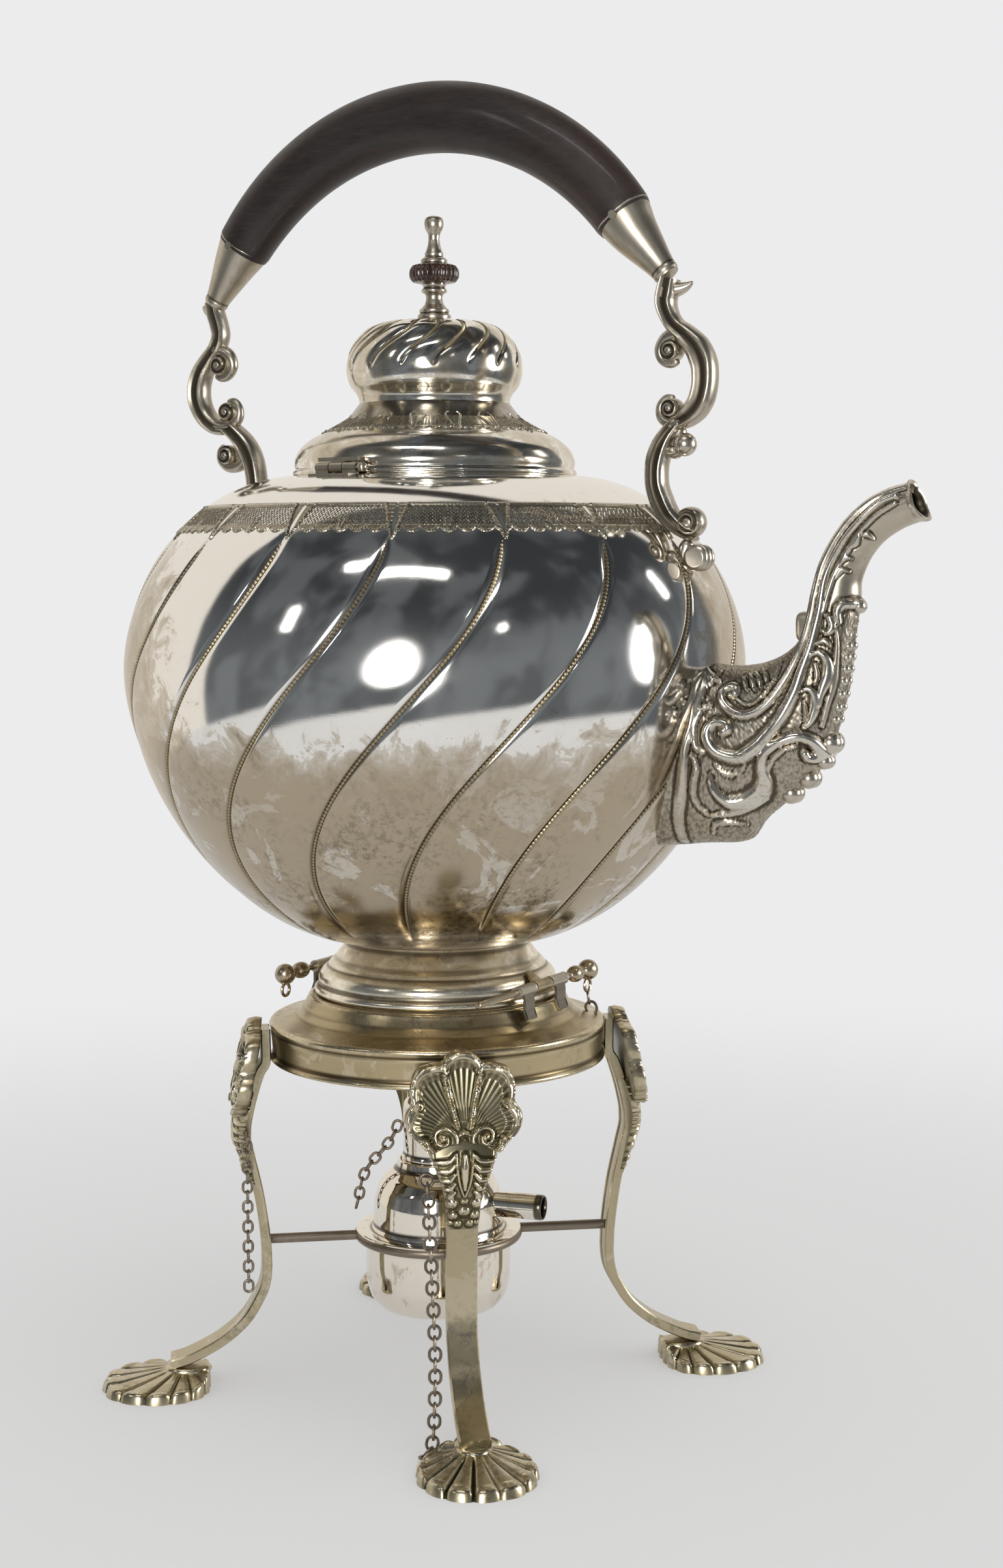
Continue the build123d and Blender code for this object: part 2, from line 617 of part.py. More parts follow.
def leg_x(share):
    """Outer face of the strap at a share of the height under the ring, read off the leg's line."""
    for (low_reach, low), (high_reach, high) in zip(LEG_LINE[1:], LEG_LINE):
        if low <= share <= high:
            part = (share - low) / (high - low)
            return RING_RADIUS + low_reach + (high_reach - low_reach) * part + LEG_THICKNESS
    return RING_RADIUS + LEG_THICKNESS


# Shell on the leg: lobe tips as (side, rise over the shell's hinge point)
SHELL_HINGE_SHARE = 0.85
SHELL_LOBES = [(-11.8, 8.0), (-9.2, 18.5), (0.0, 22.6), (9.2, 18.5), (11.8, 8.0)]
SHELL_LOBE_RADIUS = 4.2
SHELL_LEAN = 0.2
SHELL_PLATE = 2.6
SHELL_FACE_SHARE = 0.777
SHELL_STAND = 0.6
SHELL_ROOT_DROP = 4.0
VOLUTE_RADIUS = 4.4
VOLUTE_SIDE = 6.6
VOLUTE_RISE = 2.2
VOLUTE_HALF_DEPTH = 2.4

# The shell's tail: share of the height under the ring, depth, width, and shift off the strap's face
SHELL_TAIL = [(0.86, 4.4, 20.0, -0.8), (0.74, 4.0, 14.0, 0.2), (0.61, 2.8, LEG_WIDTH, -0.2)]


def leg_shell():
    """Scallop with two volutes and a tapering tail, set on the strap's outer face."""
    hinge_z = RING_UNDERSIDE * SHELL_HINGE_SHARE
    face_x = leg_x(SHELL_FACE_SHARE)
    hinge = (face_x + SHELL_STAND, 0, hinge_z)
    shape = ball(SHELL_LOBE_RADIUS, hinge)
    back = face_x - SHELL_PLATE
    outline = [Vector(back, 0, hinge_z - SHELL_ROOT_DROP)]
    for side, rise in SHELL_LOBES:
        tip = (face_x - SHELL_LEAN * rise, side, hinge_z + rise)
        shape += taper(SHELL_LOBE_RADIUS * 0.55, hinge, SHELL_LOBE_RADIUS * 0.95, tip)
        shape += ball(SHELL_LOBE_RADIUS, tip)
        outline.append(Vector(back, side, hinge_z + rise))
    plate = extrude(make_face(Polyline(outline, close=True)), SHELL_PLATE, dir=(1, 0, 0))
    shape += plate
    for side in (-VOLUTE_SIDE, VOLUTE_SIDE):
        low, high = face_x - VOLUTE_HALF_DEPTH, face_x + VOLUTE_HALF_DEPTH
        shape += bar(VOLUTE_RADIUS, (low, side, hinge_z + VOLUTE_RISE), (high, side, hinge_z + VOLUTE_RISE))
    tail = []
    for share, depth, width, shift in SHELL_TAIL:
        place = (leg_x(min(share, SHELL_FACE_SHARE)) + shift, 0, RING_UNDERSIDE * share)
        tail.append(Plane(origin=place, z_dir=(0, 0, -1)) * Rectangle(depth, width))
    shape += loft(tail)
    return shape - leg_strap() - ring_outer()


def foot():
    """Domed scallop fan under the strap's end, flat on the floor."""
    apex = RING_RADIUS + FOOT_APEX_REACH
    reach = FOOT_LENGTH - SCALLOP_RADIUS
    dome = scale(Sphere(1), (FOOT_DOME_LENGTH, FOOT_DOME_WIDTH, FOOT_CREST + FOOT_DOME_RISE))
    shape = Pos(apex + FOOT_DOME_SHIFT, 0, 0) * dome
    for index in range(SCALLOP_COUNT):
        angle = math.radians(SCALLOP_SPREAD * (index / (SCALLOP_COUNT - 1) - 0.5))
        length = reach * (1 - SCALLOP_SIDE_SHORTENING * abs(math.sin(angle)) ** 1.5)
        tip = (apex + length * math.cos(angle), length * math.sin(angle), SCALLOP_RADIUS - SCALLOP_TIP_DROP)
        start = (apex + CUT_PAST, 0, FOOT_CREST - SCALLOP_ROOT_DROP)
        shape += taper(SCALLOP_ROOT_RADIUS, start, SCALLOP_RADIUS, tip)
        shape += ball(SCALLOP_RADIUS, tip)
    below = 4 * FOOT_LENGTH
    shape -= Pos(apex, 0, -below / 2) * Box(below, below, below)
    return shape - leg_strap()


# Cradle wire ring and its four arms
CRADLE_RADIUS = RESERVOIR_RADIUS + CRADLE_CLEARANCE + CRADLE_WIRE_RADIUS
CRADLE_Z = CRADLE_TOP - CRADLE_WIRE_RADIUS


def burner_ring():
    return Pos(0, 0, CRADLE_Z) * Torus(CRADLE_RADIUS, CRADLE_WIRE_RADIUS)


def burner_arm():
    """Arm from the wire ring out to the leg's inner face, modelled on +X."""
    arm = bar(CRADLE_WIRE_RADIUS, (CRADLE_RADIUS, 0, CRADLE_Z), (RING_RADIUS + LEG_THICKNESS / 2, 0, CRADLE_Z))
    return arm - burner_ring() - leg_strap()


# Tilt hinge, modelled on +X; the rear one is turned half way round
def hinge_bar(radius, low, high):
    return bar(radius, (PIN_X, low, PIN_Z), (PIN_X, high, PIN_Z))


KNUCKLE_LOW = -KNUCKLE_WIDTH / 2 - KNUCKLE_SHIFT
KNUCKLE_HIGH = KNUCKLE_WIDTH / 2 - KNUCKLE_SHIFT
KETTLE_LOW = -KETTLE_KNUCKLE_WIDTH / 2 - KNUCKLE_SHIFT
KETTLE_HIGH = KETTLE_KNUCKLE_WIDTH / 2 - KNUCKLE_SHIFT
PIN_BORE = PIN_RADIUS + PIN_CLEARANCE


def stand_hinge():
    """Two knuckles on a leaf that lies on the ring's slope."""
    shape = None
    for low, high in ((KNUCKLE_LOW, KETTLE_LOW - KNUCKLE_GAP), (KETTLE_HIGH + KNUCKLE_GAP, KNUCKLE_HIGH)):
        piece = hinge_bar(KNUCKLE_RADIUS, low, high)
        web = Pos(PIN_X + WEB_SHIFT, (low + high) / 2, PIN_Z - WEB_HEIGHT / 2)
        web *= Box(LEAF_THICKNESS, high - low, WEB_HEIGHT)
        piece = piece + web
        shape = piece if shape is None else shape + piece
    outline = flat([
        (PIN_X + LEAF_START, SEAT_Z - LEAF_FALL), (PIN_X + LEAF_START, SEAT_Z + LEAF_THICKNESS),
        (PIN_X + LEAF_FLAT, SEAT_Z + LEAF_THICKNESS / 2), (PIN_X + LEAF_FLAT + LEAF_THICKNESS, SEAT_Z - LEAF_FALL / 2),
        (PIN_X + LEAF_LENGTH, SEAT_Z - LEAF_FALL), (PIN_X + LEAF_LENGTH, SEAT_Z - LEAF_ROOT),
    ])
    leaf = extrude(make_face(Polyline(outline, close=True)), KNUCKLE_WIDTH / 2, both=True)
    shape += Pos(0, -KNUCKLE_SHIFT, 0) * leaf
    return shape - ring_outer() - hinge_bar(PIN_BORE, KNUCKLE_LOW - CUT_PAST, KNUCKLE_HIGH + CUT_PAST)


def kettle_hinge(open_below):
    """Kettle's knuckle with its leaf on the pedestal; the rear one is open below the pin."""
    width = KETTLE_HIGH - KETTLE_LOW
    leaf = Pos(PIN_X - KETTLE_LEAF_SHIFT, -KNUCKLE_SHIFT, PIN_Z + KETTLE_LEAF_RISE)
    leaf *= Box(KETTLE_LEAF_DEPTH, width, LEAF_THICKNESS)
    shape = hinge_bar(KNUCKLE_RADIUS, KETTLE_LOW, KETTLE_HIGH) + leaf
    shape -= full_turn(foot_outline(-SOLDER_GAP))
    shape -= hinge_bar(PIN_BORE, KETTLE_LOW - CUT_PAST, KETTLE_HIGH + CUT_PAST)
    if open_below:
        slot = Pos(PIN_X, -KNUCKLE_SHIFT, PIN_Z - REAR_SLOT_DEPTH / 2)
        shape -= slot * Box(2 * PIN_BORE, width + 2 * CUT_PAST, REAR_SLOT_DEPTH)
    return shape


def tilt_pin():
    """Shaft with a collar ball and an end ball that carries the chain's eye."""
    tail = KNUCKLE_LOW - PIN_TAIL
    end = KNUCKLE_HIGH + PIN_NECK
    shape = hinge_bar(PIN_RADIUS, tail, end)
    shape += ball(PIN_RADIUS, (PIN_X, tail, PIN_Z))
    shape += ball(PIN_COLLAR_RADIUS, (PIN_X, end - PIN_COLLAR_BACK, PIN_Z))
    shape += ball(PIN_BALL_RADIUS, (PIN_X, end, PIN_Z))
    eye_z = PIN_Z - PIN_BALL_RADIUS - PIN_EYE_RADIUS + PIN_EYE_SINK
    eye = Pos(PIN_X, end, eye_z) * Rot(0, 90, 0) * Torus(PIN_EYE_RADIUS, PIN_EYE_WIRE_RADIUS)
    return shape + eye


# Burner
BRIM_Z = CRADLE_TOP + BRIM_LIFT
DOME_TOP_Z = BRIM_Z + BURNER_DOME_HEIGHT


def reservoir_outline(inset=0.0):
    shares = [(0.3, 1.0), (0.67, 0.9), (0.89, 0.72), (0.97, 0.57), (1.0, 0.42), (1.0, 0.0)]
    return [((RESERVOIR_RADIUS - inset) * out, BRIM_Z - (RESERVOIR_DEPTH - inset) * down) for out, down in shares]


def burner_reservoir():
    return full_turn(reservoir_outline()) - full_turn(reservoir_outline(RESERVOIR_WALL))


def dome_outline(inset=0.0):
    radius = BURNER_DOME_RADIUS - inset
    height = BURNER_DOME_HEIGHT - inset
    shares = [(1.0, 0.0), (1.0, 0.2), (0.98, 0.52), (0.87, 0.8), (0.72, 0.96)]
    return [(radius * out, BRIM_Z + height * up) for out, up in shares] + [(COLLAR_RADIUS, BRIM_Z + height)]


def burner_dome():
    """Domed top with a brim that rests on the cradle."""
    brim = cylinder(RESERVOIR_RADIUS + BRIM_OVERHANG, BRIM_Z, BRIM_Z + BRIM_THICKNESS)
    brim -= cylinder(BURNER_DOME_RADIUS - RESERVOIR_WALL, BRIM_Z - CUT_PAST, BRIM_Z + BRIM_THICKNESS + CUT_PAST)
    shape = full_turn(dome_outline()) - full_turn(dome_outline(RESERVOIR_WALL)) + brim
    return shape - cylinder(WICK_TUBE_RADIUS, BRIM_Z, DOME_TOP_Z + CUT_PAST)


def socket_end(radius):
    turn = math.radians(SOCKET_ANGLE)
    return (radius * math.cos(turn), radius * math.sin(turn), BRIM_Z + SOCKET_RISE)


def handle_bore():
    """Blind hole for the missing wooden handle, with the drill's point at its floor."""
    floor = socket_end(SOCKET_REACH - SOCKET_DEPTH)
    point = taper(SOCKET_BORE_RADIUS, floor, 0, socket_end(SOCKET_REACH - SOCKET_DEPTH - SOCKET_DRILL_POINT))
    return bar(SOCKET_BORE_RADIUS, floor, socket_end(SOCKET_REACH + CUT_PAST)) + point


def handle_socket():
    tube = bar(SOCKET_RADIUS, socket_end(BURNER_DOME_RADIUS - SOCKET_ROOT_DEPTH), socket_end(SOCKET_REACH))
    return tube - full_turn(dome_outline()) - handle_bore()


def wick_tube():
    bottom = DOME_TOP_Z - WICK_TUBE_DEPTH
    top = DOME_TOP_Z + WICK_TUBE_HEIGHT
    bore = cylinder(WICK_TUBE_RADIUS - WICK_TUBE_WALL, bottom - CUT_PAST, top + CUT_PAST)
    return cylinder(WICK_TUBE_RADIUS, bottom, top) - bore


def wick():
    radius = WICK_TUBE_RADIUS - WICK_TUBE_WALL - WICK_CLEARANCE
    return cylinder(radius, BRIM_Z - RESERVOIR_DEPTH + WICK_FLOOR_GAP, DOME_TOP_Z + WICK_TUBE_HEIGHT + WICK_ABOVE)


def snuffer_outline(inset=0.0):
    radius = CAP_RADIUS - inset
    height = CAP_HEIGHT - inset
    bottom = DOME_TOP_Z + CAP_CLEARANCE
    shares = [(1.0, 0.0), (1.0, 0.7), (0.93, 0.86), (0.6, 0.97), (0.25, 1.0)]
    return [(radius * out, bottom + height * up) for out, up in shares]


def snuffer_cap():
    return full_turn(snuffer_outline()) - full_turn(snuffer_outline(CAP_WALL))


# Chains
def link(centre, along, turned_side):
    """Oval wire link with its long way along the chain."""
    along = Vector(along).normalized()
    helper = Vector(0, 0, 1) if abs(along.Z) < 0.9 else Vector(1, 0, 0)
    side = along.cross(helper).normalized()
    if turned_side:
        side = along.cross(side).normalized()
    plane = Plane(origin=centre, x_dir=along, z_dir=side)
    half = LINK_STRAIGHT / 2
    bend = LINK_BEND_RADIUS - LINK_WIRE_RADIUS / 2
    path = Wire([
        Edge.make_line((-half, bend), (half, bend)),
        Edge.make_three_point_arc((half, bend), (half + bend, 0), (half, -bend)),
        Edge.make_line((half, -bend), (-half, -bend)),
        Edge.make_three_point_arc((-half, -bend), (-half - bend, 0), (-half, bend)),
    ])
    section = Plane(origin=(-half, bend, 0), z_dir=(1, 0, 0)) * Circle(LINK_WIRE_RADIUS)
    return plane * sweep(section, path=path)


def chain(points):
    """Links a pitch apart along a smooth line through the points."""
    line = Spline([Vector(p) for p in points]) if len(points) > 2 else Line(*[Vector(p) for p in points])
    count = int(line.length // LINK_PITCH)
    links = []
    for index in range(count):
        share = (index + 0.5) * LINK_PITCH / line.length
        links.append(link(line @ share, line % share, index % 2 == 1))
    return Compound(links)


EYE_DROP = EYE_RADIUS + LINK_BEND_RADIUS + LINK_STRAIGHT / 2 - EYE_WIRE_RADIUS - 2 * LINK_WIRE_RADIUS
LEFT_EYE = (7.8, 11.4, 0.785)
FRONT_EYE = (4.6, -10.2, 0.757)


def chain_eye(place):
    """Small wire eye on a stub from the leg, for a chain to hang from, modelled on +X."""
    reach, side, share = place
    x, z = RING_RADIUS + reach, RING_UNDERSIDE * share
    stub_end = side - math.copysign(EYE_RADIUS - EYE_WIRE_RADIUS / 2, side)
    stub = bar(EYE_STUB_RADIUS, (x, 0, z), (x, stub_end, z))
    eye = Pos(x, side, z) * Rot(0, 90, 0) * Torus(EYE_RADIUS, EYE_WIRE_RADIUS)
    return stub + eye - leg_strap() - leg_shell()


def leg_chain_left():
    """Chain that hangs free beside the left leg."""
    reach, side, share = LEFT_EYE
    x, top = RING_RADIUS + reach, RING_UNDERSIDE * share - EYE_DROP + LINK_PITCH / 2
    shape = chain([(x, side, top), (x, side, RING_UNDERSIDE * LEFT_CHAIN_END_SHARE)])
    return about_axis(LEG_TURN + 180, shape)


def leg_chain_front():
    """Chain that falls beside the front leg and ends on its foot."""
    reach, side, share = FRONT_EYE
    top = RING_UNDERSIDE * share - EYE_DROP + LINK_PITCH / 2
    points = [
        (RING_RADIUS + reach, side, top), (RING_RADIUS + reach + 2.0, side, RING_UNDERSIDE * 0.5),
        (RING_RADIUS + 14.0, side + 0.6, RING_UNDERSIDE * 0.26), (RING_RADIUS + 22.5, side + 1.6, RING_UNDERSIDE * 0.145),
    ]
    return about_axis(LEG_TURN - 90, chain(points))


def snuffer_chain():
    """Chain from the cap's side down over the dome to the brim."""
    outward = [
        (CAP_RADIUS + 1.4, 11.5), (CAP_RADIUS + 3.4, 6.6), (CAP_RADIUS + 7.2, 1.6), (BURNER_DOME_RADIUS + 1.4, -2.6),
        (BURNER_DOME_RADIUS + 3.4, -7.0), (BURNER_DOME_RADIUS + 4.4, -12.0), (BURNER_DOME_RADIUS + 6.8, -18.0),
    ]
    shape = chain([(radius, 0, DOME_TOP_Z + rise) for radius, rise in outward])
    return about_axis(211.5, shape)


def all_nodes():
    legs = {"right": LEG_TURN, "back": LEG_TURN + 90, "left": LEG_TURN + 180, "front": LEG_TURN - 90}
    front_bracket = bracket(FRONT_LINE, FRONT_EYES, FRONT_BALLS, 1)
    rear_bracket = bracket(REAR_LINE, REAR_EYES, REAR_BALLS, -1)
    nodes = {
        "kettle_body": kettle_body(), "kettle_foot": kettle_foot(), "spout": spout(),
        "lid_shell": lid_shell(), "finial_stem": finial_stem(), "finial_disc": finial_disc(),
        "finial_top": finial_top(), "finial_nut": finial_nut(),
        "lid_hinge_upper": lid_hinge_upper(), "lid_hinge_lower": lid_hinge_lower(), "lid_hinge_pin": lid_hinge_pin(),
        "handle_grip": handle_grip(),
        "handle_ferrule_front": seated_ferrule(FRONT_LINE, 1, front_bracket),
        "handle_ferrule_rear": seated_ferrule(REAR_LINE, -1, rear_bracket),
        "handle_bracket_front": front_bracket, "handle_bracket_rear": rear_bracket,
        "handle_rivets": Compound([rivet(1), rivet(-1)]),
        "stand_ring": stand_ring(), "burner_ring": burner_ring(),
        "stand_hinge_front": stand_hinge(), "stand_hinge_rear": about_axis(180, stand_hinge()),
        "kettle_hinge_front": kettle_hinge(False), "kettle_hinge_rear": about_axis(180, kettle_hinge(True)),
        "front_pin": tilt_pin(), "rear_pin": about_axis(180, tilt_pin()),
        "burner_reservoir": burner_reservoir(), "burner_dome": burner_dome(), "handle_socket": handle_socket(),
        "wick_tube": wick_tube(), "wick": wick(), "snuffer_cap": snuffer_cap(),
        "chain_eye_left": about_axis(LEG_TURN + 180, chain_eye(LEFT_EYE)),
        "chain_eye_front": about_axis(LEG_TURN - 90, chain_eye(FRONT_EYE)),
        "leg_chain_left": leg_chain_left(), "leg_chain_front": leg_chain_front(), "snuffer_chain": snuffer_chain(),
    }
    strap, shell, scallop, arm = leg(), leg_shell(), foot(), burner_arm()
    for name, angle in legs.items():
        nodes["leg_" + name] = about_axis(angle, strap)
        nodes["leg_shell_" + name] = about_axis(angle, shell)
        nodes["foot_" + name] = about_axis(angle, scallop)
        nodes["burner_arm_" + name] = about_axis(angle, arm)
    return nodes


os.makedirs("parts", exist_ok=True)
for node_name, node_shape in all_nodes().items():
    export_step(node_shape, "parts/" + node_name + ".step")
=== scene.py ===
"""Silver-plated spirit kettle that tilts on a four-legged stand over a spirit burner."""
import math

import bmesh
import bpy
import numpy as np
from mathutils import Matrix, Vector


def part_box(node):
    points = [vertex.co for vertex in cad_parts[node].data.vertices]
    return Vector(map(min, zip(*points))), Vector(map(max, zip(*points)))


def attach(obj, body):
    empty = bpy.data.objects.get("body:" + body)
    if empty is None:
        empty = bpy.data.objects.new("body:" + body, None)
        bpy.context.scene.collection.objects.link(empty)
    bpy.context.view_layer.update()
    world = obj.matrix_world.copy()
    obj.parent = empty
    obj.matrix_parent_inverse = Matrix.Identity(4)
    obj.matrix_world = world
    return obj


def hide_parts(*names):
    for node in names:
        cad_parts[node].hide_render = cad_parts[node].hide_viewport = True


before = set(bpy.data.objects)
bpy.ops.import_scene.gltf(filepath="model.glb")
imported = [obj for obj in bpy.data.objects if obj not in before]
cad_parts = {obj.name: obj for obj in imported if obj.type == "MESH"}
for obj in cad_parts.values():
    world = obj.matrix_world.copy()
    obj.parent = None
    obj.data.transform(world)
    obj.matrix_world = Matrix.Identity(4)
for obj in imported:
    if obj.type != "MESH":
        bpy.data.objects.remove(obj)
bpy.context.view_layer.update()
MM = 0.001


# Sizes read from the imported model, in millimetres
def span(node):
    """Lowest and highest corner of a CAD node."""
    low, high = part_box(node)
    return np.array(low) / MM, np.array(high) / MM


def extent(node, axis):
    """Lowest and highest place of a CAD node along an axis."""
    low, high = span(node)
    number = "xyz".index(axis)
    return low[number], high[number]


def half_width(node):
    """Half of a CAD node's width along the X axis."""
    low, high = extent(node, "x")
    return (high - low) / 2


BELLY_SHARE = 0.5882
NECK_SHARE = 0.2888
BODY_WALL = 1.2
MOUTH_STEP = 4.1
PIN_BALL = 3.3
PIN_RISE = 5.5
BASE_Z, RIM_Z = extent("kettle_body", "z")
BELLY = half_width("kettle_body")
BELLY_Z = BASE_Z + (RIM_Z - BASE_Z) * BELLY_SHARE
UNDERSIDE_Z, SEAT_Z = extent("stand_ring", "z")
RING = half_width("stand_ring")
LID = half_width("lid_shell")
LID_TOP_Z = extent("lid_shell", "z")[1]
MOUTH = LID - MOUTH_STEP
NECK = BELLY * NECK_SHARE
PIN_X = extent("front_pin", "x")[1] - PIN_BALL
PIN_Z = SEAT_Z + PIN_RISE
LEG_ANGLES = {"right": 38.5, "back": 128.5, "left": 218.5, "front": -51.5}
LOBES = 16
LOBE_TURN = 360.0 / LOBES
SHARP_ANGLE = 42.0


# Curves and grids
def smooth(value, low, high):
    """Zero below low, one above high, and between them three squares of the share less two of its cubes."""
    share = np.clip((np.asarray(value, float) - low) / (high - low), 0, 1)
    return share * share * (3 - 2 * share)


def ridge(distance, half):
    """Round-topped ridge: the root of one less the squared distance over half its width, or zero."""
    share = np.clip(1 - (np.asarray(distance, float) / half) ** 2, 0, 1)
    return np.sqrt(share)


def travelled(points):
    """Length run along a line of points, at each of them."""
    steps = np.linalg.norm(np.diff(points, axis=0), axis=1)
    return np.concatenate([[0], np.cumsum(steps)])


def spaced(points, count):
    """Points of a line spread evenly by length."""
    points = np.asarray(points, float)
    travel = travelled(points)
    places = np.linspace(0, travel[-1], count)
    return np.stack([np.interp(places, travel, points[:, axis]) for axis in range(points.shape[1])], 1)


def through(points, count):
    """Curve through the points, a cubic between each pair, spread evenly by length."""
    points = np.asarray(points, float)
    padded = np.concatenate([2 * points[:1] - points[1:2], points, 2 * points[-1:] - points[-2:-1]])
    place = np.linspace(0, len(points) - 1, 16 * len(points))
    start = np.minimum(place.astype(int), len(points) - 2)
    part = (place - start)[:, None]
    before, near, far, beyond = (padded[start + shift] for shift in range(4))
    bend = 2 * before - 5 * near + 4 * far - beyond
    twist = 3 * near - before - 3 * far + beyond
    curve = near + 0.5 * part * (far - before + part * (bend + part * twist))
    return spaced(curve, count)


def along(points, count, low=0.0, high=1.0):
    """Values read off a curve through (place, value) pairs, for evenly spaced places."""
    curve = through(points, 40 * len(points))
    return np.interp(np.linspace(low, high, count), curve[:, 0], curve[:, 1])


def along_table(pairs):
    """Places and values of a smooth curve through pairs, for reading off."""
    curve = through(pairs, 300)
    return curve[:, 0], curve[:, 1]


def spin(points, angle):
    """Points turned about the Z axis by an angle in degrees."""
    turn = math.radians(angle)
    x, y = points[..., 0], points[..., 1]
    turned_points = np.array(points, float)
    turned_points[..., 0] = x * math.cos(turn) - y * math.sin(turn)
    turned_points[..., 1] = x * math.sin(turn) + y * math.cos(turn)
    return turned_points


def spun_skins(skins, angle):
    """Skins with their relief, turned about the Z axis."""
    return [(spin(grid, angle), deep) for grid, deep in skins]


def around(radius, turn, height):
    """Points at radii, turns in radians and heights: the radius times the turn's cosine and sine."""
    return np.stack(np.broadcast_arrays(radius * np.cos(turn), radius * np.sin(turn), height), -1)


def lathe(profile, columns):
    """Grid of a (radius, height) profile carried round the Z axis."""
    profile = np.asarray(profile, float)
    return around(profile[:, :1], np.linspace(0, 2 * math.pi, columns + 1), profile[:, 1:])


def circle(radius, count=10):
    """Closed round section, or one for each radius of a list."""
    turn = np.linspace(0, 2 * math.pi, count, endpoint=False)
    unit = np.stack([np.cos(turn), np.sin(turn)], -1)
    radius = np.asarray(radius, float)
    return unit * radius if radius.ndim == 0 else radius[:, None, None] * unit


def sweep(path, section, reference=(0, 1, 0), closed=False):
    """Carries a closed section of (across, out) pairs along a path. Across leans to the reference, and out
    is square to it and to the path. Open ends close on their middle."""
    path = np.asarray(path, float)
    section = np.asarray(section, float)
    if section.ndim == 2:
        section = np.repeat(section[None], len(path), 0)
    if closed:
        tangent = np.roll(path, -1, 0) - np.roll(path, 1, 0)
    else:
        tangent = np.gradient(path, axis=0)
    tangent /= np.linalg.norm(tangent, axis=1, keepdims=True)
    reference = np.broadcast_to(np.asarray(reference, float), path.shape)
    across = reference - tangent * np.sum(reference * tangent, 1, keepdims=True)
    across /= np.linalg.norm(across, axis=1, keepdims=True)
    out = np.cross(tangent, across)
    rows = path[:, None] + section[..., :1] * across[:, None] + section[..., 1:] * out[:, None]
    rows = np.concatenate([rows, rows[:, :1]], 1)
    if closed:
        return np.concatenate([rows, rows[:1]], 0)
    first = np.repeat(rows[:1, :-1].mean(1, keepdims=True), rows.shape[1], 1)
    last = np.repeat(rows[-1:, :-1].mean(1, keepdims=True), rows.shape[1], 1)
    return np.concatenate([first, rows, last], 0)


def rod(path, radius, reference=(0, 1, 0), count=8):
    """Round rod along a path. The radius is one number or one for each point, and falls as a quarter circle
    towards both ends."""
    path = np.asarray(path, float)
    radius = np.broadcast_to(np.asarray(radius, float), len(path)).copy()
    travel = travelled(path)
    from_end = np.minimum(travel, travel[-1] - travel)
    share = np.clip(from_end / np.maximum(radius, 1e-6), 0, 1)
    radius *= np.sqrt(1 - (1 - share) ** 2) * 0.96 + 0.04
    return sweep(path, circle(radius, count), reference)


def ball(centre, radius, rows=10, columns=14):
    """Ball about a centre: the cosine and the sine of its rise from pole to pole, times the radius."""
    turn = np.linspace(-math.pi / 2, math.pi / 2, rows)
    profile = np.stack([np.cos(turn) * radius, np.sin(turn) * radius], -1)
    profile[[0, -1], 0] = 0
    return lathe(profile, columns) + np.asarray(centre, float)


def moved(grid, centre, x_axis, y_axis, z_axis):
    """Grid carried from the origin into a frame of three axes."""
    axes = np.array([x_axis, y_axis, z_axis], float)
    axes /= np.linalg.norm(axes, axis=1, keepdims=True)
    return np.asarray(grid) @ axes + np.asarray(centre, float)


def facing(grid):
    """Signed volume of a grid about its middle: above zero where its faces look outwards."""
    points = grid - grid.reshape(-1, 3).mean(0)
    first, second = points[:-1, :-1], points[1:, :-1]
    third, fourth = points[1:, 1:], points[:-1, 1:]
    return np.sum(np.cross(first, second) * third) + np.sum(np.cross(first, third) * fourth)


def swollen(grid, lift):
    """Grid pushed out along its own normals by the lift at each point. Its first and last columns meet."""
    across = np.gradient(grid, axis=1)
    seam = (grid[:, 1] - grid[:, -2]) / 2
    across[:, 0] = seam
    across[:, -1] = seam
    normal = np.cross(np.gradient(grid, axis=0), across)
    normal /= np.maximum(np.linalg.norm(normal, axis=-1, keepdims=True), 1e-9)
    return grid + math.copysign(1, facing(grid)) * lift[..., None] * normal


def raised(plane, strands):
    """Height and moat of raised strands at the points of a plane. A strand is a curve, its half widths,
    its height and the pitch of its beads. Its crown is the root of one less the squared distance over the
    half width, its skirt falls off at twice the width, and the moat runs along its foot."""
    lift = np.zeros(plane.shape[:-1])
    moat = np.zeros(plane.shape[:-1])
    for points, halves, high, pitch in strands:
        rough = through(points, 40)
        travel = travelled(rough)[-1]
        count = int(travel / 0.8) + 4
        line = through(points, count)
        half = np.interp(np.linspace(0, 1, count), np.linspace(0, 1, len(halves)), halves)
        reach = 2 * half.max()
        near = np.all((plane > line.min(0) - reach) & (plane < line.max(0) + reach), -1)
        spots = plane[near][:, None]
        if not len(spots):
            continue
        run = line[1:] - line[:-1]
        share = np.clip(np.sum((spots - line[:-1]) * run, -1) / np.sum(run * run, -1), 0, 1)
        gap = np.sum((spots - line[:-1] - share[..., None] * run) ** 2, -1)
        ratio = gap / (half[:-1] + share * (half[1:] - half[:-1])) ** 2
        crown = 0.72 * np.sqrt(np.clip(1 - ratio, 0, 1)) + 0.28 * np.clip(1 - ratio / 4, 0, 1) ** 2
        if pitch:
            place = (np.arange(count - 1) + share) * travel / (count - 1)
            crown = crown * (0.62 + 0.38 * np.cos(place * 2 * math.pi / pitch))
        lift[near] = np.maximum(lift[near], high * crown.max(-1))
        moat[near] = np.maximum(moat[near], np.clip(1 - np.abs(np.sqrt(ratio.min(-1)) - 1.35) / 0.45, 0, 1))
    return lift, moat * (1 - smooth(lift, 0.25, 0.6))


